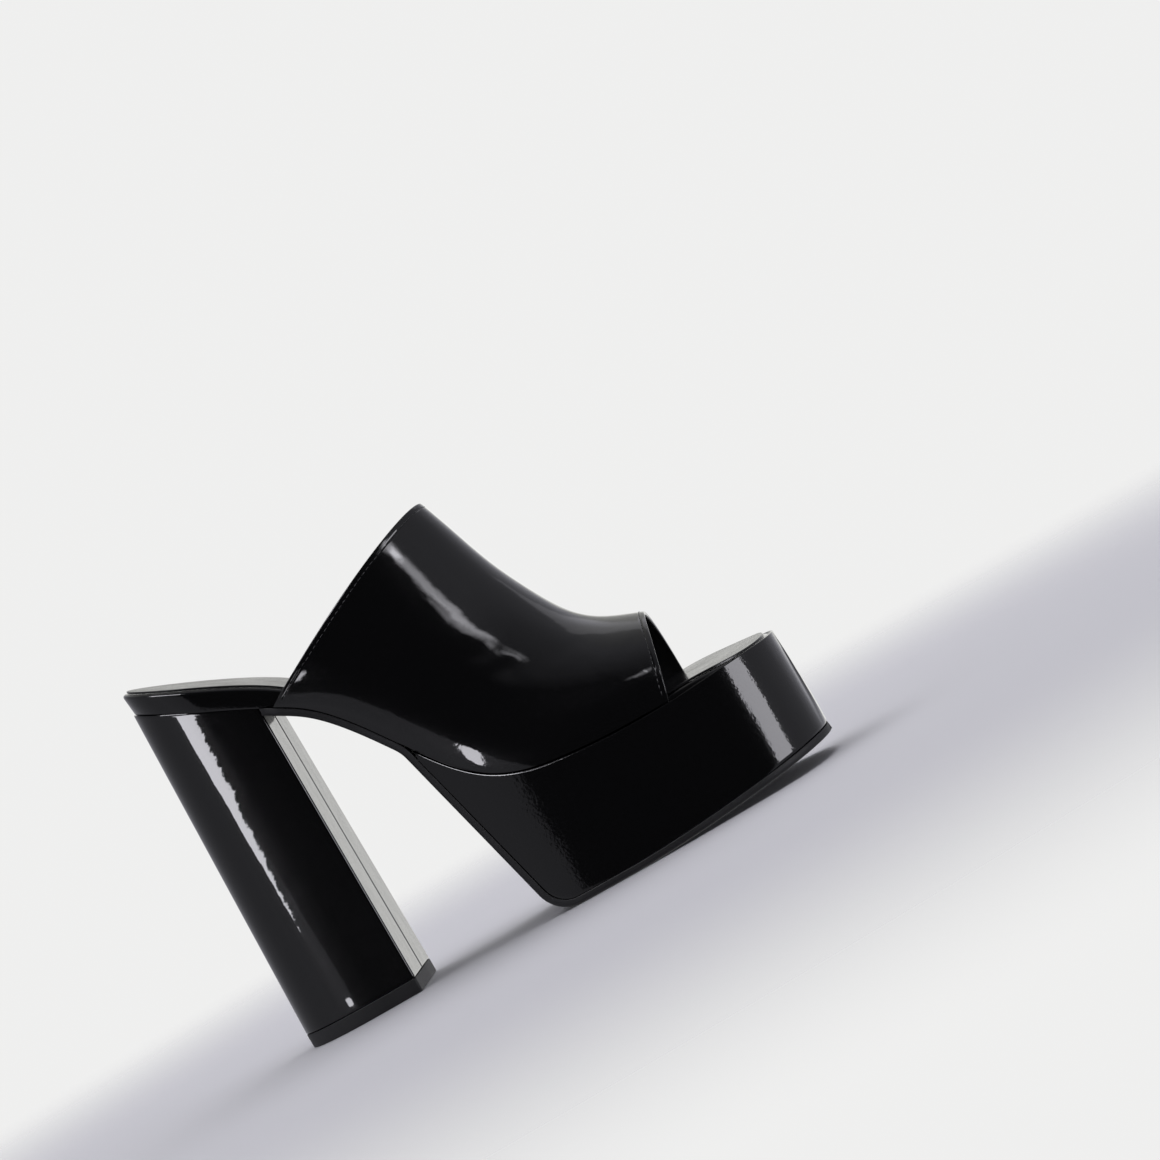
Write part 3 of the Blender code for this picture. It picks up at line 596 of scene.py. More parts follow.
def outsole_mesh():
    outer = moved_path(SOLE_PATH, OUTSOLE_THICKNESS)
    rings = [sole_ring(outer, TREAD_EDGE_RADIUS + 0.4 * MM)]
    for inset, depth in rounded_levels(TREAD_EDGE_RADIUS)[::-1][1:]:
        rings.append(sole_ring(moved_path(SOLE_PATH, OUTSOLE_THICKNESS - depth), inset))
    rings.append(sole_ring(moved_path(SOLE_PATH, 0.2 * MM)))
    rings.append(sole_ring(SOLE_PATH, 0.2 * MM))
    return slab_mesh("outsole_rubber", rings)


def platform_ring(under, share, inset=0.0, depth=0.0):
    """A ring of the platform's side: share 0 is its top, and 1 its underside."""
    front = PLATFORM_OUTLINE.front + PLATFORM_FLARE
    near_tip = ease(under[:, 0], front - TOE_ROUND, front)
    x = under[:, 0] - PLATFORM_FLARE * (1 - share) * near_tip
    rim = TOE_RIM_RISE * ease(under[:, 0], *TOE_RIM_STRETCH) * (1 - ease(inset, 0, TOE_RIM_WIDTH))
    top = feather(x) - CLEARANCE - depth + rim
    points = np.stack([x, top + (under[:, 1] - top) * share], 1)
    pairs = sole_ring(points, inset)
    pairs[0] += (TOE_WALL_BULGE * (1 - share**3) - inset) * near_tip
    return pairs


def platform_mesh():
    under = moved_path(SOLE_PATH, -CLEARANCE)
    under = under[feather(under[:, 0]) - under[:, 1] > PLATFORM_LEAST_HEIGHT]
    rings = [platform_ring(under, 1.0, COVER_TUCK * 2), platform_ring(under, 1.0, COVER_TUCK)]
    rings += [platform_ring(under, share) for share in (0.985, 0.97, 0.85, 0.7, 0.5, 0.3, 0.15)]
    for inset, depth in rounded_levels(PLATFORM_EDGE_RADIUS):
        rings.append(platform_ring(under, 0.0, inset, depth))
    rings.append(platform_ring(under, 0.0, TOE_RIM_WIDTH + PLATFORM_EDGE_RADIUS))
    return slab_mesh("platform_cover", rings)


def insole_mesh():
    xs = stations(INSOLE_OUTLINE)
    under = ring(
        INSOLE_OUTLINE, xs, lambda x: feather(x) - INSOLE_SEAT * CLEARANCE, COVER_TUCK + INSOLE_TAPER
    )
    rings = [under]
    rings.append(ring(INSOLE_OUTLINE, xs, lambda x: feather(x) + COVER_TUCK, INSOLE_TAPER))
    for inset, depth in rounded_levels(INSOLE_EDGE_RADIUS):
        rings.append(ring(INSOLE_OUTLINE, xs, lambda x, d=depth: insole_top(x) - d, inset, True))
    return slab_mesh("insole_cover", rings)


def sock_mesh():
    xs = stations(SOCK_OUTLINE)
    under, top = CLEARANCE, CLEARANCE + SOCK_THICKNESS
    edge = 0.25 * MM
    rings = [
        ring(SOCK_OUTLINE, xs, lambda x, rise=rise: insole_top(x) + rise, inset, True)
        for rise, inset in (
            (under, 0.0),
            (top - edge, 0.0),
            (top - edge * 0.3, edge * 0.3),
            (top, edge),
            (top, 2 * edge),
        )
    ]
    return slab_mesh("sock_leather", rings)


def heel_half(x, front, half_at):
    """Half-width of a heel section with small round corners at its breast."""
    full = half_at(np.minimum(x, front))
    left = np.clip(HEEL_CORNER_RADIUS - (front - x), 0, HEEL_CORNER_RADIUS)
    return full - HEEL_CORNER_RADIUS + np.sqrt(HEEL_CORNER_RADIUS**2 - left**2)


def heel_shares():
    round_share = TOP_PIECE_ROUND / TOP_PIECE_LENGTH
    turn = np.linspace(0, math.pi / 2, FINE_END_STEPS, endpoint=False)
    back = round_share * (1 - np.cos(turn)) + END_CAP / TOP_PIECE_LENGTH
    corner = 1 - HEEL_CORNER_RADIUS / TOP_PIECE_LENGTH
    middle = np.linspace(round_share, corner, 16)[1:-1]
    turn = np.linspace(0, math.pi / 2, 9)
    return np.concatenate([back, middle, corner + (1 - corner) * np.sin(turn)])


def heel_foot_half(x):
    return TOP_PIECE_WIDTH / 2 * end_round(x, TOP_PIECE_ROUND, SEAT_SQUARENESS)


def heel_sections():
    """Stations of the foot and of the head of the heel: x, lateral and medial half, z."""
    shares = heel_shares()
    foot_x = TOP_PIECE_LENGTH * shares
    foot_half = heel_half(foot_x, TOP_PIECE_LENGTH, heel_foot_half)
    foot_z = np.full_like(foot_x, TOP_PIECE_THICKNESS + CLEARANCE)
    head_x = INSOLE_BACK + (BREAST_SETBACK - INSOLE_BACK) * shares
    kept = 1 - HEEL_HEAD_TAPER * shares**2
    head = [
        heel_half(head_x, BREAST_SETBACK, lambda v, s=side: INSOLE_OUTLINE.half(v, s)) * kept
        for side in (LATERAL, MEDIAL)
    ]
    foot = np.stack([foot_x, foot_half, foot_half, foot_z])
    return foot, np.stack([head_x, head[0], head[1], feather(head_x) - CLEARANCE])


def loop_around(section):
    """Points of a heel section: up the lateral side, across the breast, back down."""
    x, lateral, medial, z = section
    out = np.stack([x, -lateral, z], 1)
    home = np.stack([x, medial, z], 1)[::-1]
    across = np.linspace(out[-1], home[0], BREAST_STEPS + 1, endpoint=False)[1:]
    return np.concatenate([out, across, home])


def heel_mesh():
    foot, head = (loop_around(section) for section in heel_sections())
    tuck = COVER_TUCK / (SEAT_HEIGHT - TOP_PIECE_THICKNESS)
    shares = np.concatenate([[0, tuck / 2, tuck, 3 * tuck], np.linspace(0.02, 0.98, HEEL_LEVELS)])
    shares = np.concatenate([shares, [1 - 3 * tuck, 1 - tuck, 1]])
    pull = np.interp(shares, [0, tuck / 2, tuck, 1 - tuck, 1], [1, 0.3, 0, 0, 0.6]) * COVER_TUCK
    centre = foot.mean(0) * [1, 1, 0]
    seam = BREAST_SEAM_DEPTH * np.exp(-((foot[:, 1] / BREAST_SEAM_WIDTH) ** 2))
    seam *= foot[:, 0] > TOP_PIECE_LENGTH / 2
    levels = []
    for share, inwards in zip(shares, pull):
        points = foot + (head - foot) * share
        away = (points - centre) * [1, 1, 0]
        away /= np.linalg.norm(away, axis=1)[:, None]
        points = points - away * inwards
        points[:, 0] -= seam
        levels.append(points)
    count = len(foot)
    vertices = np.concatenate(levels)

    def at(level, i):
        return level * count + i % count

    faces = []
    for level in range(len(levels) - 1):
        for i in range(count):
            faces.append((at(level, i), at(level, i + 1), at(level + 1, i + 1), at(level + 1, i)))
    side = len(heel_shares())
    for level, flip in ((0, False), (len(levels) - 1, True)):
        for i in range(side - 1):
            face = (at(level, i), at(level, count - 1 - i), at(level, count - 2 - i), at(level, i + 1))
            faces.append(face[::-1] if flip else face)
        breast = tuple(at(level, i) for i in range(side - 1, count - side + 1))
        faces.append(breast if flip else breast[::-1])
    return make_object("heel_cover", vertices, faces)


def top_piece_mesh():
    foot = heel_sections()[0]
    radius = TOP_PIECE_EDGE_RADIUS
    shares = heel_shares()

    def level(z, inset):
        half = pulled_in(foot[1], inset)
        x = foot[0] + inset * (1 - 2 * shares)
        return np.stack([x, -half, half, np.full_like(x, z)])

    rings = [level(0.0, radius * 1.6)]
    for turn in np.linspace(math.pi / 2, 0, FINE_ROUND_STEPS):
        rings.append(level(radius * (1 - math.sin(turn)), radius * (1 - math.cos(turn))))
    top = TOP_PIECE_THICKNESS
    rings += [level(top * 0.5, 0.0), level(top - 0.15 * MM, 0.0), level(top, 0.15 * MM)]
    return slab_mesh("top_piece_rubber", rings)


UPPER_CURVES = table([(i / (len(UPPER_ROWS) - 1), *row) for i, row in enumerate(UPPER_ROWS)])


def upper_points(u, v):
    """Outside of the upper: u runs from the collar to the toe opening, v over the foot."""
    foot, skew, top, rise, ridge, roll, side, breadth, lean, bow = (
        curve(u) for curve in UPPER_CURVES
    )
    hand = np.where(v < 0.5, LATERAL, MEDIAL)
    bow = bow - np.where(v < 0.5, 0.0, MEDIAL_TOE_BOW * ease(u, 0.7, 1.0))
    t = (1 - np.abs(2 * v - 1)) ** CROWD_AT_FOOT
    x = COLLAR_SETBACK + foot * (TOE_OPENING_FORWARD - COLLAR_SETBACK)
    x = x + hand * skew * SHOE_LENGTH
    z = feather(x) + CLEARANCE
    beside = np.where(v < 0.5, UPPER_FOOT.half(x, LATERAL), UPPER_FOOT.half(x, MEDIAL))
    half = beside + roll * BALL_WIDTH
    crown_x = top * SHOE_LENGTH
    crown_z = PLATFORM_TOP + TOE_OPENING_RISE + rise * (INSTEP_RISE - TOE_OPENING_RISE)
    run, climb = crown_x - x, crown_z - z
    height = np.hypot(run, climb)
    arch_x, arch_z = bow * SHOE_LENGTH * climb / height, -bow * SHOE_LENGTH * run / height
    crown_y = ridge * BALL_WIDTH
    w0, w1, w2, w3 = (1 - t) ** 3, 3 * t * (1 - t) ** 2, 3 * t * t * (1 - t), t**3
    px = w0 * x + w1 * (x + side * run + arch_x) + w2 * (crown_x + CROWN_ARCH * arch_x)
    px = px + w3 * crown_x
    py = w0 * hand * half + w1 * hand * (half + lean * BALL_WIDTH)
    py = py + w2 * (crown_y + hand * breadth * half) + w3 * crown_y
    pz = w0 * z + w1 * (z + side * climb + arch_z) + w2 * (crown_z + CROWN_ARCH * arch_z)
    pz = pz + w3 * crown_z
    climbed = np.hypot(px - x, pz - z)
    py = py - hand * roll * BALL_WIDTH * np.exp(-climbed / ROLL_REACH)
    return np.stack([px, py, pz], -1)


def unit(vectors):
    return vectors / np.linalg.norm(vectors, axis=-1, keepdims=True)


def upper_normals(u, v):
    """Outward directions of the upper. At its foot they point straight to the side."""
    step = 0.002
    along = upper_points(u + step, v) - upper_points(u - step, v)
    across = upper_points(u, np.minimum(v + step, 1)) - upper_points(u, np.maximum(v - step, 0))
    normal = unit(np.cross(along, across))
    hand = np.where(v < 0.5, LATERAL, MEDIAL)
    inward = (normal[..., 2] < 0) & (normal[..., 1] * hand < 0)
    normal = np.where(inward[..., None], -normal, normal)
    edge = np.exp(-(((1 - np.abs(2 * v - 1)) * FOOT_BLEND) ** 2))
    normal = normal * (1 - edge[..., None])
    normal[..., 1] += hand * edge
    return unit(normal)


def crease_depth(points, u, v):
    """How far each point of the upper sinks into its creases, in metres."""
    depth = np.zeros(u.shape)
    for side, along, up, reach, width, turn, deep in CREASE_ROWS:
        at_v = up / 2 if side == LATERAL else 1 - up / 2
        u0, v0 = np.array([along]), np.array([at_v])
        centre = upper_points(u0, v0)[0]
        ahead = unit(upper_points(u0 + 0.01, v0) - upper_points(u0 - 0.01, v0))[0]
        upward = unit(upper_points(u0, v0 + 0.01) - upper_points(u0, v0 - 0.01))[0]
        angle = math.radians(turn)
        if side == MEDIAL:
            upward = -upward
        main = ahead * math.cos(angle) + upward * math.sin(angle)
        cross = upward * math.cos(angle) - ahead * math.sin(angle)
        offset = points - centre
        far = (offset @ main / (reach * MM)) ** 2 + (offset @ cross / (width * MM)) ** 2
        same_side = (v < 0.5) if side == LATERAL else (v >= 0.5)
        depth += np.where(same_side, deep * MM * np.exp(-far), 0.0)
    return depth


def edge_distances(points):
    """Distance along the surface from the collar and from the toe opening."""
    steps = np.linalg.norm(np.diff(points, axis=0), axis=-1)
    from_collar = np.concatenate([np.zeros((1, points.shape[1])), np.cumsum(steps, 0)])
    return from_collar, from_collar[-1] - from_collar


def seam_height(distance):
    """Height of the turned edge: a soft roll, then the trough that the stitches pull in."""
    trough = -SEAM_DEPTH * np.exp(-(((distance - SEAM_INSET) / SEAM_WIDTH) ** 2))
    puff = EDGE_PUFF * np.exp(-(((distance - SEAM_INSET / 2) / (SEAM_INSET / 2.6)) ** 2))
    return trough + puff


def upper_grids():
    """Outside and inside of the upper as grids, and the directions between them."""
    even_u = np.linspace(0, 1, LENGTH_STEPS)
    crowded_u = even_u - EDGE_CROWDING * np.sin(2 * math.pi * even_u) / (2 * math.pi)
    u, v = np.meshgrid(crowded_u, np.linspace(0, 1, GIRTH_STEPS + 1), indexing="ij")
    points, normals = upper_points(u, v), upper_normals(u, v)
    from_collar, from_toe = edge_distances(points)
    lift = seam_height(from_collar) + seam_height(from_toe)
    lift -= crease_depth(points, u, v)
    foot_fade = ease(1 - np.abs(2 * v - 1), 0.0, 0.06)
    outside = points + normals * (lift * foot_fade)[..., None]
    inside = points - normals * UPPER_WALL
    return outside, inside, normals


def upper_mesh():
    """The band of the upper, with rounded edges at the collar and at the toe opening."""
    outside, inside, normals = upper_grids()
    rows, columns = outside.shape[:2]

    def edge(row, towards):
        outer, inner = outside[row], inside[row]
        middle, half = (outer + inner) / 2, (outer - inner) / 2
        reach = np.linalg.norm(half, axis=-1, keepdims=True)
        away = unit(outside[row] - outside[row + towards]) * reach
        rim = []
        for turn in np.linspace(0, math.pi, WALL_STEPS + 2)[1:-1]:
            across = math.copysign(abs(math.cos(turn)) ** RIM_SQUARENESS, math.cos(turn))
            rim.append(middle + half * across + away * RIM_REACH * math.sin(turn) ** RIM_SQUARENESS)
        return rim

    loop = list(outside) + edge(rows - 1, -1) + list(inside[::-1]) + edge(0, 1)[::-1]
    count = len(loop)
    vertices = np.concatenate(loop)

    def at(r, c):
        return (r % count) * columns + c

    faces, slots = [], []
    lining_from = rows + WALL_STEPS // 2
    lining_to = 2 * rows + WALL_STEPS + WALL_STEPS // 2
    for r in range(count):
        for c in range(columns - 1):
            faces.append((at(r, c), at(r + 1, c), at(r + 1, c + 1), at(r, c + 1)))
            slots.append(1 if lining_from <= r < lining_to else 0)
    inner_of = {r: 2 * rows + WALL_STEPS - 1 - r for r in range(rows)}
    for r in range(rows - 1):
        a, b = inner_of[r], inner_of[r + 1]
        faces.append((at(r, 0), at(a, 0), at(b, 0), at(r + 1, 0)))
        faces.append((at(r, columns - 1), at(r + 1, columns - 1), at(b, columns - 1), at(a, columns - 1)))
        slots += [0, 0]
    for c in (0, columns - 1):
        front = [at(rows - 1 + i, c) for i in range(WALL_STEPS + 2)]
        back = [at(2 * rows + WALL_STEPS - 1 + i, c) for i in range(WALL_STEPS + 2)]
        faces += [front[::-1], back[::-1]] if c == 0 else [front, back]
        slots += [0, 0]
    return make_object("upper_leather", vertices, faces, slots)


def stitch_mesh(name, line, normals):
    """Short threads laid end to end along a line on the upper."""
    steps = np.linalg.norm(np.diff(line, axis=0), axis=1)
    travelled = np.concatenate([[0], np.cumsum(steps)])
    pitch = STITCH_LENGTH + STITCH_GAP
    count = int((travelled[-1] - 4 * MM) / pitch)
    first = (travelled[-1] - count * pitch + STITCH_GAP) / 2
    sides, rings = 8, 9
    vertices, faces = [], []
    for k in range(count):
        base = len(vertices)
        for r in range(rings):
            share = r / (rings - 1)
            place = first + k * pitch + share * STITCH_LENGTH
            centre = np.array([np.interp(place, travelled, line[:, a]) for a in range(3)])
            ahead = np.array([np.interp(place + 0.1 * MM, travelled, line[:, a]) for a in range(3)])
            up = unit(np.array([np.interp(place, travelled, normals[:, a]) for a in range(3)]))
            ahead = unit(ahead - centre)
            aside = unit(np.cross(ahead, up))
            arch = math.sin(math.pi * share)
            thick = THREAD_RADIUS * (0.45 + 0.55 * math.sqrt(arch))
            middle = centre + up * (THREAD_RADIUS * 1.1 * arch - THREAD_RADIUS * 0.35)
            for s in range(sides):
                turn = 2 * math.pi * s / sides
                vertices.append(middle + thick * (aside * math.cos(turn) + up * math.sin(turn)))
        for r in range(rings - 1):
            for s in range(sides):
                a, b = base + r * sides + s, base + r * sides + (s + 1) % sides
                faces.append((a, a + sides, b + sides, b))
        faces.append(tuple(base + s for s in range(sides)))
        faces.append(tuple(base + (rings - 1) * sides + s for s in range(sides))[::-1])
    return make_object(name, vertices, faces)


def seam_line(at_collar):
    """The row of stitches beside one edge of the upper, with the directions out of it."""
    outside, _, normals = upper_grids()
    from_collar, from_toe = edge_distances(outside)
    distance = from_collar if at_collar else from_toe
    line, ups = [], []
    for c in range(outside.shape[1]):
        row = int(np.argmin(np.abs(distance[:, c] - SEAM_INSET)))
        line.append(outside[row, c])
        ups.append(normals[row, c])
    return np.array(line), np.array(ups)


class Nodes:
    """Short calls for building a material's nodes."""

    def __init__(self, name):
        self.material = bpy.data.materials.new(name)
        self.material.use_nodes = True
        self.tree = self.material.node_tree
        self.shader = self.tree.nodes["Principled BSDF"]

    def add(self, kind, settings=(), inputs=()):
        node = self.tree.nodes.new(kind)
        for key, value in settings:
            setattr(node, key, value)
        for key, value in inputs:
            node.inputs[key].default_value = value
        return node

    def link(self, source, target):
        self.tree.links.new(source, target)

    def set(self, **values):
        for key, value in values.items():
            self.shader.inputs[key.replace("_", " ")].default_value = value

    def noise(self, scale, detail=3.0, roughness=0.5, stretch=(1, 1, 1)):
        """Noise whose scale is in cells for each metre of the shoe."""
        place = self.add("ShaderNodeTexCoord")
        mapping = self.add("ShaderNodeMapping", inputs=[("Scale", stretch)])
        texture = self.add(
            "ShaderNodeTexNoise",
            inputs=[("Scale", scale), ("Detail", detail), ("Roughness", roughness)],
        )
        self.link(place.outputs["Object"], mapping.inputs["Vector"])
        self.link(mapping.outputs["Vector"], texture.inputs["Vector"])
        return texture.outputs["Fac"]

    def spread(self, source, low, high, from_low=0.0, from_high=1.0):
        node = self.add(
            "ShaderNodeMapRange",
            inputs=[("From Min", from_low), ("From Max", from_high), ("To Min", low), ("To Max", high)],
        )
        self.link(source, node.inputs["Value"])
        return node.outputs["Result"]

    def bump(self, height, distance, strength=1.0, below=None):
        node = self.add("ShaderNodeBump", inputs=[("Distance", distance), ("Strength", strength)])
        self.link(height, node.inputs["Height"])
        if below is not None:
            self.link(below, node.inputs["Normal"])
        return node.outputs["Normal"]


def patent_leather(name, wave, peel, blur=0.03, quick_scale=420.0, tint=(0.0014, 0.0014, 0.0017)):
    """Black leather under a thick clear lacquer, with a slow waviness and faint specks."""
    made = Nodes(name)
    made.set(Base_Color=(*tint, 1.0), IOR=1.5, Coat_Weight=1.0, Coat_IOR=1.5)
    made.set(Specular_IOR_Level=0.04, Coat_Roughness=blur)
    slow = made.noise(95.0, 2.0, 0.4)
    quick = made.noise(quick_scale, 2.0, 0.5)
    pores = made.noise(2600.0, 3.0, 0.6)
    low = made.bump(slow, wave)
    middle = made.bump(quick, peel, below=low)
    fine = made.bump(pores, wave * 0.35, below=middle)
    made.link(middle, made.shader.inputs["Coat Normal"])
    made.link(fine, made.shader.inputs["Normal"])
    made.link(made.spread(pores, 0.12, 0.3, 0.3, 0.7), made.shader.inputs["Roughness"])
    return made.material


def soft_leather(name, tint, low, high, grain=1500.0):
    """Plain leather with a fine grain, for the sock and the lining."""
    made = Nodes(name)
    made.set(Base_Color=(*tint, 1.0), IOR=1.45)
    pores = made.noise(grain, 4.0, 0.65)
    patches = made.noise(60.0, 3.0, 0.5)
    made.link(made.bump(pores, 0.00006), made.shader.inputs["Normal"])
    made.link(made.spread(patches, low, high, 0.3, 0.7), made.shader.inputs["Roughness"])
    return made.material


def rubber(name, tint):
    """Matte rubber with a fine stipple and slightly lighter worn places."""
    made = Nodes(name)
    made.set(IOR=1.5)
    stipple = made.noise(2200.0, 4.0, 0.7)
    patches = made.noise(45.0, 4.0, 0.6)
    mix = made.add("ShaderNodeMix", settings=[("data_type", "RGBA")])
    mix.inputs["A"].default_value = (*tint, 1.0)
    mix.inputs["B"].default_value = (*(1.9 * c for c in tint), 1.0)
    made.link(made.spread(patches, 0.0, 1.0, 0.35, 0.75), mix.inputs["Factor"])
    made.link(mix.outputs["Result"], made.shader.inputs["Base Color"])
    made.link(made.bump(stipple, 0.00012), made.shader.inputs["Normal"])
    made.link(made.spread(patches, 0.42, 0.62), made.shader.inputs["Roughness"])
    return made.material


def thread(name):
    """Black waxed thread with the twist of its strands."""
    made = Nodes(name)
    made.set(Base_Color=(0.012, 0.012, 0.013, 1.0))
    strands = made.noise(5200.0, 2.0, 0.5)
    made.link(made.bump(strands, 0.00005), made.shader.inputs["Normal"])
    made.link(made.spread(strands, 0.3, 0.55), made.shader.inputs["Roughness"])
    return made.material


def dress(piece, node, slot, *materials):
    """Puts a piece on the body, in place of its solid, with its materials."""
    for material in materials:
        piece.data.materials.append(material)
    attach(piece, "root")
    if node:
        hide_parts(node)


def build_shoe():
    upper_patent = patent_leather("upper_patent", 0.00016, 0.000012, 0.035)
    heel_patent = patent_leather("heel_patent", 0.00009, 0.000014)
    cover_patent = patent_leather("cover_patent", 0.00010, 0.000042, quick_scale=900.0)
    lining = soft_leather("lining_leather", (0.010, 0.010, 0.011), 0.35, 0.55)
    sock = soft_leather("sock_lining_leather", (0.016, 0.016, 0.017), 0.10, 0.18)
    sole = rubber("sole_rubber", (0.010, 0.010, 0.011))
    top_piece = rubber("top_piece_rubber", (0.010, 0.010, 0.011))
    waxed = thread("stitch_thread")
    dress(upper_mesh(), "upper", "upper_leather", upper_patent, lining)
    dress(platform_mesh(), "platform", "platform_cover", cover_patent)
    dress(insole_mesh(), "insole", "insole_cover", cover_patent)
    dress(sock_mesh(), "sock_lining", "sock_leather", sock)
    dress(heel_mesh(), "heel", "heel_cover", heel_patent)
    dress(outsole_mesh(), "outsole", "outsole_rubber", sole)
    dress(top_piece_mesh(), "heel_top_piece", "top_piece_rubber", top_piece)
    for name, at_collar in (("collar_stitches", True), ("toe_opening_stitches", False)):
        line, ups = seam_line(at_collar)
        dress(stitch_mesh(name, line, ups), None, "upper_leather", waxed)


def add_camera():
    """The photo's camera. Its roll shows the shoe as it leans in the photo."""
    lens = bpy.data.cameras.new("camera")
    lens.sensor_width = SENSOR
    lens.lens = SENSOR * FOCAL_PIXELS / PHOTO_PIXELS
    camera = bpy.data.objects.new("camera", lens)
    bpy.context.scene.collection.objects.link(camera)
    aim = Vector(CAMERA_AIM).normalized()
    level = aim.cross(Vector((0, 0, 1))).normalized()
    upright = level.cross(aim)
    right = level * math.cos(CAMERA_ROLL) - upright * math.sin(CAMERA_ROLL)
    up = level * math.sin(CAMERA_ROLL) + upright * math.cos(CAMERA_ROLL)
    turn = Matrix((right, up, -aim)).transposed().to_4x4()
    place = Vector(CAMERA_PLACE) + Vector((CAD_BOX[0].x, 0, 0))
    camera.matrix_world = Matrix.Translation(place) @ turn
    bpy.context.scene.camera = camera


def fade_light(light, fade):
    """Lets a softbox's brightness fall off over the outer share of its face."""
    light.use_nodes = True
    nodes, links = light.node_tree.nodes, light.node_tree.links
    place = nodes.new("ShaderNodeNewGeometry")
    parts = nodes.new("ShaderNodeSeparateXYZ")
    links.new(place.outputs["Parametric"], parts.inputs["Vector"])
    level = None
    for axis in ("X", "Y"):
        away = nodes.new("ShaderNodeMath")
        away.operation = "SUBTRACT"
        away.inputs[1].default_value = 0.5
        links.new(parts.outputs[axis], away.inputs[0])
        size = nodes.new("ShaderNodeMath")
        size.operation = "ABSOLUTE"
        links.new(away.outputs["Value"], size.inputs[0])
        fall = nodes.new("ShaderNodeMapRange")
        fall.interpolation_type = "SMOOTHSTEP"
        for key, value in (("From Min", 0.5), ("From Max", 0.5 - fade / 2)):
            fall.inputs[key].default_value = value
        links.new(size.outputs["Value"], fall.inputs["Value"])
        if level is None:
            level = fall.outputs["Result"]
        else:
            product = nodes.new("ShaderNodeMath")
            product.operation = "MULTIPLY"
            links.new(level, product.inputs[0])
            links.new(fall.outputs["Result"], product.inputs[1])
            level = product.outputs["Value"]
    links.new(level, nodes["Emission"].inputs["Strength"])


def add_softbox(
    name, at, azimuth, elevation, distance, width, height, radiance, roll, fade, lit, shape="RECTANGLE"
):
    """A soft area light aimed at a place on the shoe. Azimuth 0 is the camera's side.

    Where lit names pieces, it lights only those, as flags beside a real softbox would.
    """
    light = bpy.data.lights.new(name, "AREA")
    light.shape = shape
    light.size, light.size_y = width, height
    face = width * height * (math.pi / 4 if shape == "ELLIPSE" else 1.0)
    light.energy = radiance * math.pi * face
    made = bpy.data.objects.new(name, light)
    bpy.context.scene.collection.objects.link(made)
    a, e = math.radians(azimuth), math.radians(elevation)
    way = Vector((math.sin(a) * math.cos(e), -math.cos(a) * math.cos(e), math.sin(e)))
    x, y, z = (value * MM for value in at)
    target = Vector((BACK_OF_HEEL + x, SHOE_MIDDLE_Y + y, z))
    turn = way.to_track_quat("Z", "Y").to_matrix() @ Matrix.Rotation(math.radians(roll), 3, "Z")
    made.matrix_world = Matrix.Translation(target + way * distance) @ turn.to_4x4()
    light.color = SOFTBOX_TINT
    made.visible_camera = False
    made.visible_diffuse = False
    if fade:
        fade_light(light, fade)
    if lit:
        chosen = bpy.data.collections.new(name + "_lit")
        for piece in lit:
            chosen.objects.link(bpy.data.objects[piece])
        made.light_linking.receiver_collection = chosen
    return made


def add_floor():
    """A pale floor that fades into the backdrop and shows from above only."""
    made = Nodes("floor_paint")
    made.set(Base_Color=(0.80, 0.80, 0.82, 1.0), Roughness=0.9)
    tree = made.tree
    clear = made.add("ShaderNodeBsdfTransparent")
    fade = made.add("ShaderNodeMixShader")
    place = made.add("ShaderNodeTexCoord")
    length = made.add("ShaderNodeVectorMath", settings=[("operation", "LENGTH")])
    made.link(place.outputs["Object"], length.inputs[0])
    gone = made.add("ShaderNodeMapRange", settings=[("interpolation_type", "SMOOTHSTEP")])
    gone.inputs["From Min"].default_value = 0.22
    gone.inputs["From Max"].default_value = 0.75
    made.link(length.outputs["Value"], gone.inputs["Value"])
    facing = made.add("ShaderNodeNewGeometry")
    hidden = made.add("ShaderNodeMath", settings=[("operation", "MAXIMUM")])
    made.link(gone.outputs["Result"], hidden.inputs[0])
    made.link(facing.outputs["Backfacing"], hidden.inputs[1])
    made.link(hidden.outputs["Value"], fade.inputs["Fac"])
    made.link(made.shader.outputs["BSDF"], fade.inputs[1])
    made.link(clear.outputs["BSDF"], fade.inputs[2])
    output = next(n for n in tree.nodes if n.type == "OUTPUT_MATERIAL")
    made.link(fade.outputs["Shader"], output.inputs["Surface"])
    mesh = bpy.data.meshes.new("floor")
    reach = 0.8
    corners = [(-reach, -reach, 0), (reach, -reach, 0), (reach, reach, 0), (-reach, reach, 0)]
    mesh.from_pydata(corners, [], [(0, 1, 2, 3)])
    mesh.materials.append(made.material)
    floor = bpy.data.objects.new("floor", mesh)
    floor.location.z = -0.05 * MM
    bpy.context.scene.collection.objects.link(floor)
    floor.visible_glossy = False


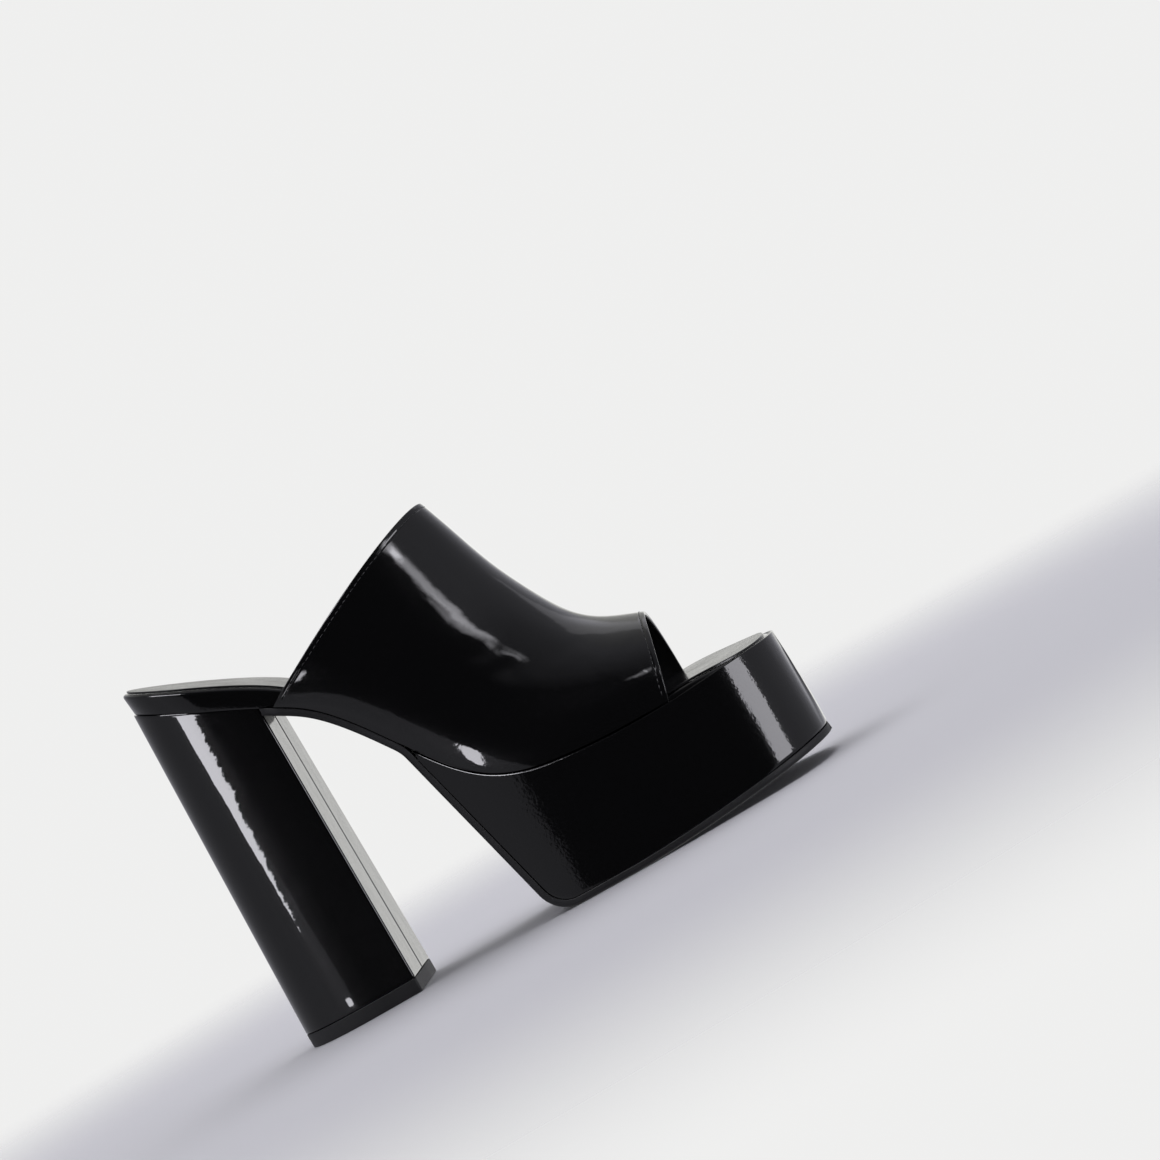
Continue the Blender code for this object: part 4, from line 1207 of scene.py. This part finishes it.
def add_world():
    """The room: black behind the camera, dim walls beside it, a white wall behind the shoe."""
    world = bpy.data.worlds.new("studio")
    bpy.context.scene.world = world
    world.use_nodes = True
    nodes, links = world.node_tree.nodes, world.node_tree.links

    def math_node(operation, first, second=None):
        node = nodes.new("ShaderNodeMath")
        node.operation = operation
        for socket, value in zip(node.inputs, (first, second)):
            if isinstance(value, (int, float)):
                socket.default_value = value
            elif value is not None:
                links.new(value, socket)
        return node.outputs["Value"]

    def mapped(source, start, end, low=0.0, high=1.0):
        node = nodes.new("ShaderNodeMapRange")
        node.interpolation_type = "SMOOTHSTEP"
        for key, value in zip(("From Min", "From Max", "To Min", "To Max"), (start, end, low, high)):
            node.inputs[key].default_value = value
        links.new(source, node.inputs["Value"])
        return node.outputs["Result"]

    place = nodes.new("ShaderNodeTexCoord")
    way = nodes.new("ShaderNodeSeparateXYZ")
    links.new(place.outputs["Generated"], way.inputs["Vector"])
    azimuth = math_node("ARCTAN2", way.outputs["X"], math_node("MULTIPLY", way.outputs["Y"], -1.0))
    share = math_node("ADD", math_node("DIVIDE", azimuth, 2 * math.pi), 0.5)
    walls = []
    middle_levels = [(degrees, min(level, MIDDLE_BACK)) for degrees, level in ROOM_LEVELS]
    for levels in (ROOM_LEVELS, middle_levels, HIGH_LEVELS):
        ramp = nodes.new("ShaderNodeValToRGB")
        stops = ramp.color_ramp.elements
        stops.remove(stops[-1])
        for number, (degrees, level) in enumerate(levels):
            where = degrees / 360 + 0.5
            stop = stops[0] if number == 0 else stops.new(where)
            stop.position = where
            tint = ROOM_TINT if abs(degrees) < 165 else WALL_TINT
            stop.color = (*(level * shade for shade in tint), 1.0)
        links.new(share, ramp.inputs["Fac"])
        walls.append(ramp.outputs["Color"])
    rise = math_node("ARCSINE", way.outputs["Z"])
    room = walls[0]
    for wall, start, full in (
        (walls[1], BACKDROP_TOP, BACKDROP_FADED),
        (walls[2], HIGH_START, HIGH_FULL),
    ):
        blend = nodes.new("ShaderNodeMix")
        blend.data_type = "RGBA"
        links.new(mapped(rise, math.radians(start), math.radians(full)), blend.inputs["Factor"])
        links.new(room, blend.inputs["A"])
        links.new(wall, blend.inputs["B"])
        room = blend.outputs["Result"]
    paths = nodes.new("ShaderNodeLightPath")
    seen = nodes.new("ShaderNodeMix")
    seen.data_type = "RGBA"
    seen.inputs["B"].default_value = BACKDROP
    links.new(paths.outputs["Is Camera Ray"], seen.inputs["Factor"])
    links.new(room, seen.inputs["A"])
    links.new(seen.outputs["Result"], nodes["Background"].inputs["Color"])


def main():
    bpy.context.scene.view_settings.view_transform = "Standard"
    build_shoe()
    add_camera()
    add_floor()
    add_world()
    for row in SOFTBOXES:
        add_softbox(*row)
    for row in GLINTS:
        add_softbox(*row, shape="ELLIPSE")
    fill = add_softbox("floor_fill", (110, 0, 0), 180.0, 78.0, 1.5, 2.0, 2.0, 1.3, 0.0, 0.0, ())
    fill.visible_glossy = False
    fill.visible_diffuse = True


main()
